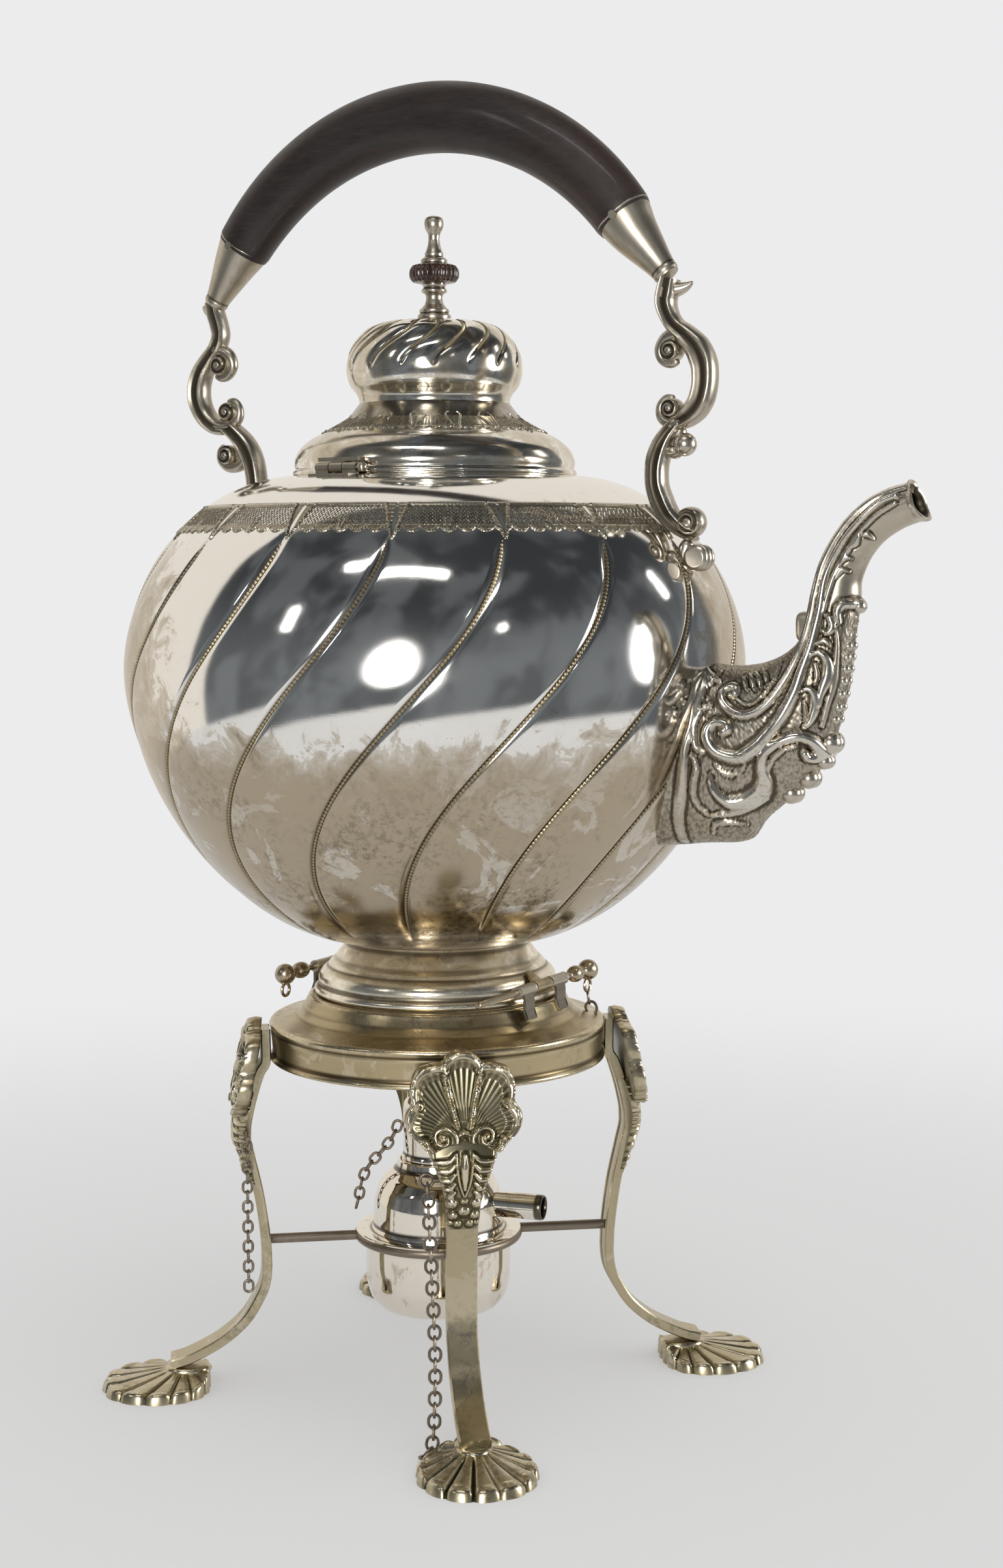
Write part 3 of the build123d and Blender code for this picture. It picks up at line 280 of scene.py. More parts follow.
def joined(skins):
    """Points, quads, corners of the UV square and relief of several skins. Quads are turned to look out."""
    points, relief, faces, corners = [], [], [], []
    base = 0
    for skin in skins:
        grid, depth = skin if isinstance(skin, tuple) else (skin, 0.0)
        rows, columns = grid.shape[:2]
        number = base + np.arange(rows * columns).reshape(rows, columns)
        squares = [number[:-1, :-1], number[1:, :-1], number[1:, 1:], number[:-1, 1:]]
        quads = np.stack(squares, -1).reshape(-1, 4)
        if facing(grid) < 0:
            quads = quads[:, ::-1]
        points.append(grid.reshape(-1, 3))
        relief.append(np.broadcast_to(np.asarray(depth, float), (rows, columns)).ravel())
        faces.append(quads)
        v, u = np.meshgrid(np.linspace(0, 1, rows), np.linspace(0, 1, columns), indexing="ij")
        corners.append(np.stack([u, v], -1).reshape(-1, 2))
        base += rows * columns
    return [np.concatenate(part) for part in (points, faces, corners, relief)]


def smooth_mesh(name, skins):
    """Mesh of the skins in metres, welded where points meet and sharp only at its hard edges."""
    points, faces, corners, relief = joined(skins)
    points = points * MM
    mesh = bpy.data.meshes.new(name)
    mesh.vertices.add(len(points))
    mesh.vertices.foreach_set("co", points.ravel())
    mesh.loops.add(faces.size)
    mesh.loops.foreach_set("vertex_index", faces.ravel())
    mesh.polygons.add(len(faces))
    mesh.polygons.foreach_set("loop_start", np.arange(0, faces.size, 4))
    mesh.update(calc_edges=True)
    mesh.uv_layers.new(name="UVMap").data.foreach_set("uv", corners[faces.ravel()].ravel())
    layer = mesh.attributes.new("relief", "FLOAT", "POINT")
    layer.data.foreach_set("value", relief.astype(np.float32))
    work = bmesh.new()
    work.from_mesh(mesh)
    bmesh.ops.remove_doubles(work, verts=work.verts, dist=2e-6)
    bmesh.ops.dissolve_degenerate(work, dist=1e-7, edges=work.edges)
    work.to_mesh(mesh)
    work.free()
    mesh.shade_smooth()
    mesh.set_sharp_from_angle(angle=math.radians(SHARP_ANGLE))
    return mesh


def make_piece(name, skins, body, material, replaces=()):
    """One piece from grids of points in millimetres, or from (grid, relief) pairs. Relief is an attribute
    of the surface: above zero where it stands proud, below where it lies deep."""
    mesh = smooth_mesh(name, skins)
    mesh.materials.append(material)
    piece = bpy.data.objects.new(name, mesh)
    bpy.context.scene.collection.objects.link(piece)
    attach(piece, body)
    if replaces:
        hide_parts(*replaces)
    return piece


def dress(node, material):
    """Keeps a CAD node's shape and gives it a finish."""
    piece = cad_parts[node]
    piece.data.materials.clear()
    piece.data.materials.append(material)


# Materials
def feed(tree, socket, value):
    """Gives a socket its value, or links another node's output to it."""
    if isinstance(value, bpy.types.NodeSocket):
        tree.links.new(value, socket)
    else:
        socket.default_value = value


def put(tree, kind, feeds=None, **settings):
    """Adds a node, sets its properties, and feeds its sockets from values or from other nodes' outputs."""
    made = tree.nodes.new(kind)
    for name, value in settings.items():
        setattr(made, name, value)
    for socket, value in (feeds or {}).items():
        feed(tree, made.inputs[socket], value)
    return made


def sums(tree, operation, first, second=0.0, third=0.0, clamp=False):
    """One arithmetic step."""
    feeds = {0: first, 1: second, 2: third}
    return put(tree, "ShaderNodeMath", feeds, operation=operation, use_clamp=clamp).outputs[0]


def spread(tree, value, low, high, to_low=0.0, to_high=1.0):
    """Value carried from one range into another, held at its ends, with an even rise."""
    feeds = {"Value": value, "From Min": low, "From Max": high, "To Min": to_low, "To Max": to_high}
    return put(tree, "ShaderNodeMapRange", feeds, interpolation_type="SMOOTHSTEP").outputs[0]


def noise(tree, place, scale, detail=4.0, rough=0.55, warp=0.0):
    """Noise value at a place, with the scale in turns for each millimetre."""
    feeds = {"Vector": place, "Scale": scale, "Detail": detail, "Roughness": rough, "Distortion": warp}
    return put(tree, "ShaderNodeTexNoise", feeds).outputs[0]


def blend_colour(tree, share, low, high):
    """Colour that is the first where the share is zero, and the second where it is one."""
    made = put(tree, "ShaderNodeMix", data_type="RGBA", blend_type="MIX")
    for socket, value in ((0, share), (6, low), (7, high)):
        feed(tree, made.inputs[socket], value)
    return made.outputs[2]


def blank(name):
    """New material with an empty node tree."""
    material = bpy.data.materials.new(name)
    material.use_nodes = True
    material.node_tree.nodes.clear()
    return material, material.node_tree


def surface(tree, feeds):
    """Ends a material's tree with one surface shader."""
    shader = put(tree, "ShaderNodeBsdfPrincipled", feeds)
    output = put(tree, "ShaderNodeOutputMaterial")
    tree.links.new(shader.outputs[0], output.inputs["Surface"])


def millimetres(tree):
    """Place on the object in millimetres."""
    place = put(tree, "ShaderNodeTexCoord").outputs["Object"]
    return put(tree, "ShaderNodeVectorMath", {0: place, "Scale": 1000.0}, operation="SCALE").outputs[0]


def stained_patches(group, place, islands, spread_by):
    """Shares of stain, edge and speck: islands of noise over a level that rises with the spread and with
    slow clouds, a line round each island, and small specks."""
    clouds = noise(group, place, 0.022, 3.0, 0.5)
    specks = noise(group, place, 0.75, 3.0, 0.6)
    level = sums(group, "MULTIPLY_ADD", clouds, 0.5, spread_by)
    level = sums(group, "SUBTRACT", level, 0.25)
    patch = sums(group, "ADD", islands, level)
    stain = spread(group, patch, 0.5, 0.95, 0.0, 0.5)
    stain = sums(group, "ADD", stain, spread(group, patch, 0.66, 0.72, 0.0, 0.5))
    off_line = sums(group, "ABSOLUTE", sums(group, "SUBTRACT", patch, 0.66))
    edge = spread(group, off_line, 0.0, 0.05, 0.35, 0.0)
    speck = spread(group, sums(group, "MULTIPLY_ADD", level, 0.34, specks), 0.68, 0.78)
    return stain, edge, speck


def dull_share(group, place, given, patches):
    """How dull the metal is: its stains, less where it is worn proud or rubbed, or its specks."""
    stain, edge, speck = patches
    worn = spread(group, given["Relief"], 0.15, 1.0)
    stained = sums(group, "ADD", sums(group, "MULTIPLY", stain, 0.78), edge)
    unworn = sums(group, "SUBTRACT", 1.0, sums(group, "MULTIPLY", worn, 0.6))
    stained = sums(group, "MULTIPLY", stained, unworn)
    dull = sums(group, "MAXIMUM", stained, sums(group, "MULTIPLY", speck, 0.7), clamp=True)
    rubbed = spread(group, noise(group, place, 0.04, 6.0, 0.62, 1.4), 0.56, 0.585, 0.0, 0.34)
    rubbed = sums(group, "MULTIPLY", rubbed, given["Spread"], clamp=True)
    return sums(group, "MULTIPLY", dull, sums(group, "SUBTRACT", 1.0, rubbed))


def dark_share(group, place, given, islands, stain):
    """How dark the stains are: the hearts of the islands, or a fine crust where the tarnish has spread."""
    dark = spread(group, islands, 0.55, 0.75, 0.0, 0.35)
    dark = sums(group, "MULTIPLY", dark, stain)
    crust = spread(group, noise(group, place, 0.42, 8.0, 0.75), 0.47, 0.6, 0.0, 0.6)
    crusted = spread(group, noise(group, place, 0.035, 3.0, 0.55), 0.42, 0.6)
    crust = sums(group, "MULTIPLY", crust, crusted)
    crust = sums(group, "MULTIPLY", crust, sums(group, "SUBTRACT", given["Spread"], 0.1), clamp=True)
    return sums(group, "MAXIMUM", dark, crust)


def aged_metal_group():
    """Colour, roughness and height of old plated metal, from the place in millimetres, the relief, how far
    the tarnish has spread, and how dark the hollows are painted: their tarnish together with painted shade."""
    group = bpy.data.node_groups.new("aged_metal", "ShaderNodeTree")
    sockets = [("Place", "INPUT", "Vector")]
    sockets += [(name, "INPUT", "Float") for name in ("Relief", "Spread", "Hollow tarnish and shade", "Dull", "Bright")]
    sockets += [(name, "INPUT", "Color") for name in ("Clean", "Stain", "Dark tarnish and shade")]
    sockets += [("Colour", "OUTPUT", "Color"), ("Roughness", "OUTPUT", "Float"),
                ("Height", "OUTPUT", "Float")]
    for name, way, kind in sockets:
        group.interface.new_socket(name, in_out=way, socket_type=f"NodeSocket{kind}")
    given = put(group, "NodeGroupInput").outputs
    place = given["Place"]
    islands = noise(group, place, 0.11, 7.0, 0.68, 0.6)
    patches = stained_patches(group, place, islands, given["Spread"])
    # Painted shade: where the relief lies deep the colour goes to the dark tint, standing for the shade in
    # hollows as well as the tarnish in them.
    deep = spread(group, sums(group, "MULTIPLY", given["Relief"], -1.0), 0.05, 0.8)
    deep = sums(group, "MULTIPLY", deep, given["Hollow tarnish and shade"], clamp=True)
    dull = dull_share(group, place, given, patches)
    tone = blend_colour(group, dull, given["Clean"], given["Stain"])
    dark = dark_share(group, place, given, islands, patches[0])
    # The hollows and the dark stain hearts take the dark tint: tarnish, with painted shade in the hollows.
    tone = blend_colour(group, sums(group, "MAXIMUM", deep, dark, clamp=True), tone, given["Dark tarnish and shade"])
    gap = sums(group, "SUBTRACT", given["Dull"], given["Bright"])
    grade = sums(group, "MAXIMUM", dull, deep, clamp=True)
    rough = sums(group, "MULTIPLY_ADD", grade, gap, given["Bright"])
    smudge = spread(group, noise(group, place, 0.05, 5.0, 0.6, 1.0), 0.35, 0.75, 0.0, 0.03)
    rough = sums(group, "ADD", rough, smudge)
    brushed = put(group, "ShaderNodeMapping", {"Vector": place, "Rotation": (0.3, 0.2, 0.7),
                                               "Scale": (1.0, 1.0, 14.0)}).outputs[0]
    lines = noise(group, brushed, 0.5, 3.0, 0.7)
    flecks = noise(group, place, 2.6, 2.0, 0.5)
    height = sums(group, "MULTIPLY_ADD", flecks, 0.25, sums(group, "MULTIPLY", lines, 0.5))
    result = put(group, "NodeGroupOutput")
    for name, made in (("Colour", tone), ("Roughness", rough), ("Height", height)):
        group.links.new(made, result.inputs[name])
    return group


AGED = aged_metal_group()


def tarnish(tree, place, spread_by, height_ramp, edge_tarnish_and_shade):
    """How far the tarnish has spread: one number, or a slope between two heights in millimetres, and what is
    added to it far out along an azimuth, which is painted shade on the sides."""
    if height_ramp:
        low_z, high_z, low_spread, high_spread = height_ramp
        rise = put(tree, "ShaderNodeSeparateXYZ", {0: place}).outputs["Z"]
        spread_by = spread(tree, rise, low_z, high_z, low_spread, high_spread)
    if edge_tarnish_and_shade:
        azimuth, near_mm, far_mm, extra = edge_tarnish_and_shade
        across = (math.cos(math.radians(azimuth)), math.sin(math.radians(azimuth)), 0)
        reach = put(tree, "ShaderNodeVectorMath", {0: place, 1: across},
                    operation="DOT_PRODUCT").outputs["Value"]
        more = spread(tree, sums(tree, "ABSOLUTE", reach), near_mm, far_mm, 0.0, extra)
        spread_by = sums(tree, "ADD", spread_by, more)
    return spread_by


def hatched(tree, place, height, phase):
    """Height scored by two sets of lines, where the sine of the girth or of the rise times the phase is
    low."""
    across, forward, rise = put(tree, "ShaderNodeSeparateXYZ", {0: place}).outputs
    girth = sums(tree, "MULTIPLY", sums(tree, "ARCTAN2", forward, across), BELLY * 0.8)
    for axis in (girth, rise):
        scored = sums(tree, "SINE", sums(tree, "MULTIPLY", axis, phase))
        height = sums(tree, "MINIMUM", height, spread(tree, scored, -0.95, -0.5, -9.0, 1.0))
    return height


def metal(name, clean, stain, dark_tarnish_and_shade, spread_by=0.5, hollow=0.9, bright=0.07, dull=0.34, height_ramp=None,
          bump=0.006, wobble=0.12, hatch=0.0, edge_tarnish_and_shade=None):
    """Plated or cast metal, with its tarnish, a fine bump and a slow wobble in millimetres. Its hollows take
    the dark tint by the hollow share, which is tarnish and painted shade. The hatch scores two sets of lines
    by their phase for each millimetre."""
    material, tree = blank(name)
    place = millimetres(tree)
    relief = put(tree, "ShaderNodeAttribute", attribute_name="relief").outputs["Fac"]
    feeds = {"Place": place, "Relief": relief, "Hollow tarnish and shade": hollow, "Dull": dull, "Bright": bright,
             "Spread": tarnish(tree, place, spread_by, height_ramp, edge_tarnish_and_shade),
             "Clean": (*clean, 1), "Stain": (*stain, 1), "Dark tarnish and shade": (*dark_tarnish_and_shade, 1)}
    aged = put(tree, "ShaderNodeGroup", node_tree=AGED)
    for socket, value in feeds.items():
        feed(tree, aged.inputs[socket], value)
    height = aged.outputs["Height"]
    if hatch:
        height = hatched(tree, place, height, hatch)
    wave = noise(tree, place, 0.045, 2.0, 0.45)
    soft = put(tree, "ShaderNodeBump", {"Strength": 1.0, "Distance": wobble * MM, "Height": wave})
    fine = put(tree, "ShaderNodeBump", {"Strength": 1.0, "Distance": bump * MM, "Height": height,
                                        "Normal": soft.outputs[0]})
    surface(tree, {"Base Color": aged.outputs["Colour"], "Roughness": aged.outputs["Roughness"],
                   "Metallic": 1.0, "Normal": fine.outputs[0]})
    return material


def wood(name, dark, light, grain=(1.0, 8.0, 8.0), rough=0.2, coat=0.6, worn_from=None):
    """Polished wood with fine grain, a satin coat and, from one place on, a paler worn tone."""
    material, tree = blank(name)
    place = millimetres(tree)
    run = put(tree, "ShaderNodeMapping", {"Vector": place, "Scale": grain}).outputs[0]
    fibre = noise(tree, run, 0.12, 6.0, 0.65, 0.8)
    pores = noise(tree, run, 0.7, 3.0, 0.6)
    figure = spread(tree, fibre, 0.3, 0.72)
    if worn_from:
        reach = put(tree, "ShaderNodeSeparateXYZ", {0: place}).outputs["X"]
        wear = spread(tree, reach, worn_from[0], worn_from[1], 0.0, worn_from[2])
        figure = sums(tree, "ADD", sums(tree, "MULTIPLY", figure, 0.75), wear, clamp=True)
    tone = blend_colour(tree, figure, (*dark, 1), (*light, 1))
    pore = spread(tree, pores, 0.58, 0.74, 0.0, 0.55)
    tone = blend_colour(tree, pore, tone, (dark[0] * 0.35, dark[1] * 0.35, dark[2] * 0.35, 1))
    gloss = spread(tree, noise(tree, place, 0.09, 4.0), 0.3, 0.8, rough, rough + 0.16)
    bump = put(tree, "ShaderNodeBump", {"Strength": 0.6, "Distance": 0.05 * MM, "Height": pores})
    surface(tree, {"Base Color": tone, "Roughness": gloss, "Normal": bump.outputs[0], "Coat Weight": coat,
                   "Coat Roughness": 0.12})
    return material


def cotton(name):
    """Cotton wick of fine strands, scorched with its height."""
    material, tree = blank(name)
    place = millimetres(tree)
    run = put(tree, "ShaderNodeMapping", {"Vector": place, "Scale": (3.0, 3.0, 0.7)}).outputs[0]
    strands = noise(tree, run, 0.8, 4.0)
    rise = put(tree, "ShaderNodeSeparateXYZ", {0: place}).outputs["Z"]
    scorch = spread(tree, rise, 80.0, 83.0, 0.1, 0.95)
    tone = blend_colour(tree, spread(tree, strands, 0.3, 0.7), (0.45, 0.4, 0.32, 1), (0.68, 0.62, 0.52, 1))
    tone = blend_colour(tree, scorch, tone, (0.02, 0.017, 0.015, 1))
    bump = put(tree, "ShaderNodeBump", {"Strength": 1.0, "Distance": 0.3 * MM, "Height": strands})
    surface(tree, {"Base Color": tone, "Roughness": 0.95, "Normal": bump.outputs[0]})
    return material


SILVER = (0.92, 0.895, 0.85)
TAN = (0.345, 0.257, 0.134)
# UMBER and MOSS are the dark tints of the stains, and the painted shade of the hollows.
UMBER = (0.10, 0.07, 0.035)
MOSS = (0.07, 0.066, 0.032)
# Painted shade: the tarnish spreads further at the body's left and right edges as the camera sees them
# (azimuth 29.9 runs across the view), to darken their reflection.
KETTLE = metal("swirled_silver", SILVER, TAN, UMBER, height_ramp=(150, 222, 1.3, -0.1),
               edge_tarnish_and_shade=(29.9, 62, 92, 0.55), hollow=0.85, bright=0.075, dull=0.2)
CORD = metal("punched_cord", (0.55, 0.48, 0.34), (0.36, 0.29, 0.17), (0.045, 0.035, 0.02),
             spread_by=0.5, hollow=0.95, bright=0.24, dull=0.45)
BAND = metal("engraved_band", (0.66, 0.63, 0.55), (0.36, 0.30, 0.19), (0.06, 0.045, 0.025),
             spread_by=0.4, hollow=1.0, bright=0.12, dull=0.36, bump=0.012, hatch=5.6)
LID_METAL = metal("lid_silver", (0.92, 0.90, 0.85), (0.5, 0.41, 0.26), UMBER,
                  spread_by=0.2, hollow=0.95, bright=0.055, dull=0.24)
CAST = metal("cast_silver", (0.80, 0.76, 0.69), (0.40, 0.34, 0.245), (0.075, 0.06, 0.04),
             spread_by=0.42, hollow=0.95, bright=0.09, dull=0.42)
STAND = metal("stand_silver", (0.80, 0.73, 0.58), (0.41, 0.34, 0.2), MOSS,
              height_ramp=(0, 90, 0.8, 0.4), hollow=0.95, bright=0.08, dull=0.36)
RING_METAL = metal("ring_silver", (0.80, 0.73, 0.56), (0.40, 0.305, 0.15), UMBER,
                   spread_by=0.78, hollow=0.9, bright=0.1, dull=0.34)
PEDESTAL = metal("pedestal_silver", (0.93, 0.88, 0.76), (0.62, 0.53, 0.36), UMBER,
                 spread_by=0.2, hollow=0.8, bright=0.17, dull=0.38)
BURNER = metal("burner_silver", (0.87, 0.81, 0.715), (0.44, 0.33, 0.21), (0.06, 0.045, 0.03),
               spread_by=0.05, hollow=0.9, bright=0.03, dull=0.24)
BRASS = metal("worn_brass", (0.66, 0.59, 0.48), (0.38, 0.31, 0.21), (0.06, 0.04, 0.02),
              spread_by=0.4, hollow=0.9, bright=0.1, dull=0.34)
WIRE = metal("browned_wire", (0.44, 0.385, 0.31), (0.2, 0.16, 0.12), (0.03, 0.02, 0.015),
             spread_by=0.5, hollow=0.8, bright=0.2, dull=0.45)
GRIP = wood("dark_grip_wood", (0.011, 0.0065, 0.005), (0.038, 0.019, 0.013), rough=0.4, coat=0.12,
            worn_from=(18.0, 66.0, 0.6))
DISC = wood("turned_disc_wood", (0.02, 0.009, 0.005), (0.075, 0.032, 0.016), grain=(8.0, 8.0, 1.0))
WICK = cotton("scorched_wick")


# Kettle body: the outline runs from the pole under the base, up the outside and down the inside
def quarter(inner, belly, height, power, count):
    """Quarter of a rounded rectangle's curve as (radius, rise): radius falls with the cosine of the turn
    and the rise grows with its sine, each to the power of two over the fullness."""
    turn = np.linspace(0, math.pi / 2, count)
    out = np.cos(turn) ** (2 / power)
    rise = np.sin(turn) ** (2 / power)
    return np.stack([inner + (belly - inner) * out, height * rise], -1)


def globe_outline(inset, count):
    """Outline of the body from the neck to the belly and on to the rim, drawn in by the inset."""
    low = quarter(NECK - inset, BELLY - inset, BELLY_Z - BASE_Z - inset, 1.75, 400)
    high = quarter(LID - inset, BELLY - inset, RIM_Z - BELLY_Z - inset, 1.9, 400)
    lower = np.stack([low[::-1, 0], BELLY_Z - low[::-1, 1]], -1)
    upper = np.stack([high[1:, 0], BELLY_Z + high[1:, 1]], -1)
    return spaced(np.concatenate([lower, upper]), count)


GLOBE = globe_outline(0, 700)
FIRST_GROOVE = -22.0
SWIRL_TOP = 268.0
SWIRL_FOOT = 148.0
SWIRL_TURN = -45.0
LOBE_CROWN = 0.55
NOTCH_DEPTH = 0.55
NOTCH_HALF = 1.9
NOTCH_SHIFT = 0.2


def globe_radius(z):
    """Radius of the body's outside at a height."""
    return np.interp(z, GLOBE[:, 1], GLOBE[:, 0])


def globe_normals(profile):
    """Outward (radius, height) normals of a profile that runs upwards."""
    slope = np.gradient(profile, axis=0)
    normal = np.stack([slope[:, 1], -slope[:, 0]], -1)
    return normal / np.linalg.norm(normal, axis=1, keepdims=True)


def swirl(z):
    """Turn of the grooves at a height, in degrees: none at the shoulder band, all of it at the foot, and
    an even rise between them."""
    return SWIRL_TURN * smooth(SWIRL_TOP - np.asarray(z, float), 0, SWIRL_TOP - SWIRL_FOOT)


def on_globe(angle, z, lift=0.0):
    """Points on the body at angles and heights, lifted off it along its normal."""
    normal = globe_normals(GLOBE)
    out = np.interp(z, GLOBE[:, 1], normal[:, 0])
    up = np.interp(z, GLOBE[:, 1], normal[:, 1])
    radius = globe_radius(z) + lift * out
    return around(radius, np.radians(angle), z + lift * up)


def lobe_relief(offset, z):
    """Relief of one lobe, from the distance to the nearest groove in millimetres: it crowns with the sine
    of half a turn from groove to groove, and falls in a notch at the groove."""
    pitch = 2 * math.pi * globe_radius(z) / LOBES
    share = np.clip(np.abs(offset) / pitch, 0, 0.5)
    crown = LOBE_CROWN * (np.sin(math.pi * share) ** 0.7 - 0.75)
    notch = -NOTCH_DEPTH * np.clip(1 - np.abs(offset + NOTCH_SHIFT) / NOTCH_HALF, 0, 1) ** 1.25
    fade = smooth(z, 141, 152) * (1 - smooth(z, 252, 262))
    return (crown + notch) * fade, fade


def kettle_body():
    """Raised globe: its outline carried round, crowned between the swirled grooves along its own normal,
    then over the lip and down the inside. Columns crowd at each groove."""
    rows = 150
    outer = globe_outline(0, rows)
    normal = globe_normals(outer)
    half = np.array([0, 0.4, 0.85, 1.4, 2.1, 3.0, 4.5, 6.8, 10.0, 14.0])
    pitch_mm = 2 * math.pi * BELLY / LOBES
    offsets = np.concatenate([-half[:0:-1], half, [pitch_mm / 2]]) / pitch_mm
    shares = np.concatenate([offsets + lobe for lobe in range(LOBES)] + [[offsets[0] + LOBES]])
    nearest = (shares + 0.5) % 1.0 - 0.5
    top_angle = FIRST_GROOVE + LOBE_TURN * shares
    angle = np.radians(top_angle[None, :] + swirl(outer[:, 1])[:, None])
    pitch = 2 * math.pi * outer[:, :1] / LOBES
    depth, fade = lobe_relief(nearest[None, :] * pitch, outer[:, 1:])
    radius = outer[:, :1] + depth * normal[:, :1]
    height = outer[:, 1:] + depth * normal[:, 1:]
    outside = around(radius, angle, height)
    # Relief falls at the grooves, so they take tarnish and painted shade.
    deep = -np.clip(1 - np.abs(nearest[None, :] * pitch + NOTCH_SHIFT) / 1.5, 0, 1) * fade
    inner = globe_outline(BODY_WALL, 60)[::-1]
    inner[0] = (MOUTH, RIM_Z - BODY_WALL)
    inner = inner[(inner[:, 0] >= MOUTH) | (inner[:, 1] < BELLY_Z)]
    lip = np.array([(LID - 1.6, RIM_Z + 0.1), (MOUTH + 0.2, RIM_Z + 0.05), (MOUTH, RIM_Z - 0.3)])
    inside = np.concatenate([lip, inner, [(0, inner[-1, 1])]])
    turn = np.radians(top_angle[None, :] + swirl(inside[:, 1])[:, None] * (inside[:, :1] > 0))
    inside = around(inside[:, :1], turn, inside[:, 1:])
    base = np.zeros_like(outside[:1])
    base[..., 2] = BASE_Z
    grid = np.concatenate([base, outside, inside])
    # The inside is set deep, so it is painted in shade.
    deep = np.concatenate([deep[:1], deep, np.full(inside.shape[:2], -0.35)])
    return grid, deep


def roped(line, wide, swell, reference, gain, drop):
    """Punched cord along a line: a round strand whose radius swells with a cosine, one bead in four
    points. Its relief follows the beads."""
    bead = 1 - swell + swell * np.cos(np.arange(len(line)) * 2 * math.pi / 4)
    grid = sweep(line, circle(wide * bead, 6), reference)
    relief = np.concatenate([[0], bead, [0]]) * gain - drop
    return grid, np.repeat(relief[:, None], grid.shape[1], 1)


def groove_cords():
    """Punched cord along each groove, wider from the foot up to the belly."""
    heights = along([(0, 258.2), (0.12, 246), (0.3, 226), (0.5, 205), (0.7, 184), (0.88, 163), (1, 146.5)],
                    900)
    skins = []
    for lobe in range(LOBES):
        line = on_globe(FIRST_GROOVE + LOBE_TURN * lobe + swirl(heights), heights, -0.72)
        line = spaced(line, 480)
        wide = smooth(line[:, 2], 146, 190) * 0.16 + 0.42
        skins.append(roped(line, wide, 0.22, line * (1, 1, 0), 2.6, 2.0))
    return skins


def cross_hatch(across, up):
    """Pits between two sets of crossing lines, one unit apart along the sum and the difference of two
    places."""
    leaning = [np.abs(place % 1.0 - 0.5) for place in (across + up, across - up)]
    return smooth(leaning[0], 0.12, 0.3) * smooth(leaning[1], 0.12, 0.3)


def shoulder_band():
    """Engraved collar: cross-hatched pits, a split dart at each groove, a small dart in each lobe's
    middle, and a cord below whose scallops follow the cosine along it. Lines are ridges of the distance
    from them."""
    per_lobe = 100
    band_radius = 72.0
    z = np.concatenate([[268.9], np.linspace(268.5, 257.6, 46), [257.2]])[:, None]
    share = np.arange(LOBES * per_lobe + 1)[None, :] / per_lobe
    local = (share + 0.5) % 1.0 - 0.5
    pitch = 2 * math.pi * band_radius / LOBES
    x = local * pitch
    field = smooth(z, 262.3, 262.8) * (1 - smooth(z, 267.2, 267.7))
    pits = cross_hatch(x, z) * field
    wide = np.clip((z - 258.3) / 9.4, 0, 1) * 3.3
    dart = np.abs(x) - wide
    inside = (1 - smooth(dart, -0.1, 0.15)) * (z > 258.2)
    rim = ridge(dart + 0.15, 0.45) * (z > 258.4) * (z < 268.2)
    split = ridge(x, 0.3) * inside
    step = x / pitch * 6
    line_z = 262.15 - 1.35 * np.abs(np.cos(math.pi * step)) ** 0.7
    cord = ridge(z - line_z, 0.42) * (0.65 + 0.35 * np.cos(x * 2 * math.pi / 0.75))
    top = ridge(z - 268.1, 0.45)
    small_x = np.abs(local) * pitch - pitch / 2
    small = np.abs(small_x) - np.clip((z - 260.2) / 4, 0, 1) * 1.1
    small_rim = ridge(small + 0.1, 0.35) * (z > 260.2) * (z < 264.4)
    small_inside = (1 - smooth(small, -0.1, 0.1)) * (z > 260.2) * (z < 264.2)
    pits = pits * (1 - inside) * (1 - small_inside)
    cord = cord * (1 - inside)
    lift = 0.12 - 0.34 * pits + 0.32 * rim + 0.28 * cord + 0.3 * top + 0.2 * small_rim - 0.22 * split
    lift = lift - 0.1 * inside * (1 - rim)
    plain = smooth(z, 258.0, 259.0) * (1 - smooth(z, 268.5, 268.8))
    cover = np.maximum(smooth(z, line_z - 0.5, line_z + 0.1), np.maximum(inside, rim))
    lift = np.where(cover * plain > 0.03, lift, -0.25) * plain - 0.4 * (1 - plain)
    relief = np.maximum(np.maximum(rim, cord), np.maximum(top, small_rim)) - 1.2 * pits - 0.5 * split
    relief = relief - 0.25 * field * (1 - pits)
    grid = on_globe(FIRST_GROOVE + LOBE_TURN * share, z, lift)
    back = on_globe(FIRST_GROOVE + LOBE_TURN * share, z[::-1][[0, -1]], -0.9)
    return np.concatenate([grid, back, grid[:1]]), np.concatenate([relief, 0 * back[..., 0], relief[:1]])


make_piece("swirled_body", [kettle_body()], "kettle", KETTLE, ["kettle_body"])
make_piece("groove_cords", groove_cords(), "kettle", CORD)
make_piece("shoulder_band", [shoulder_band()], "kettle", BAND)


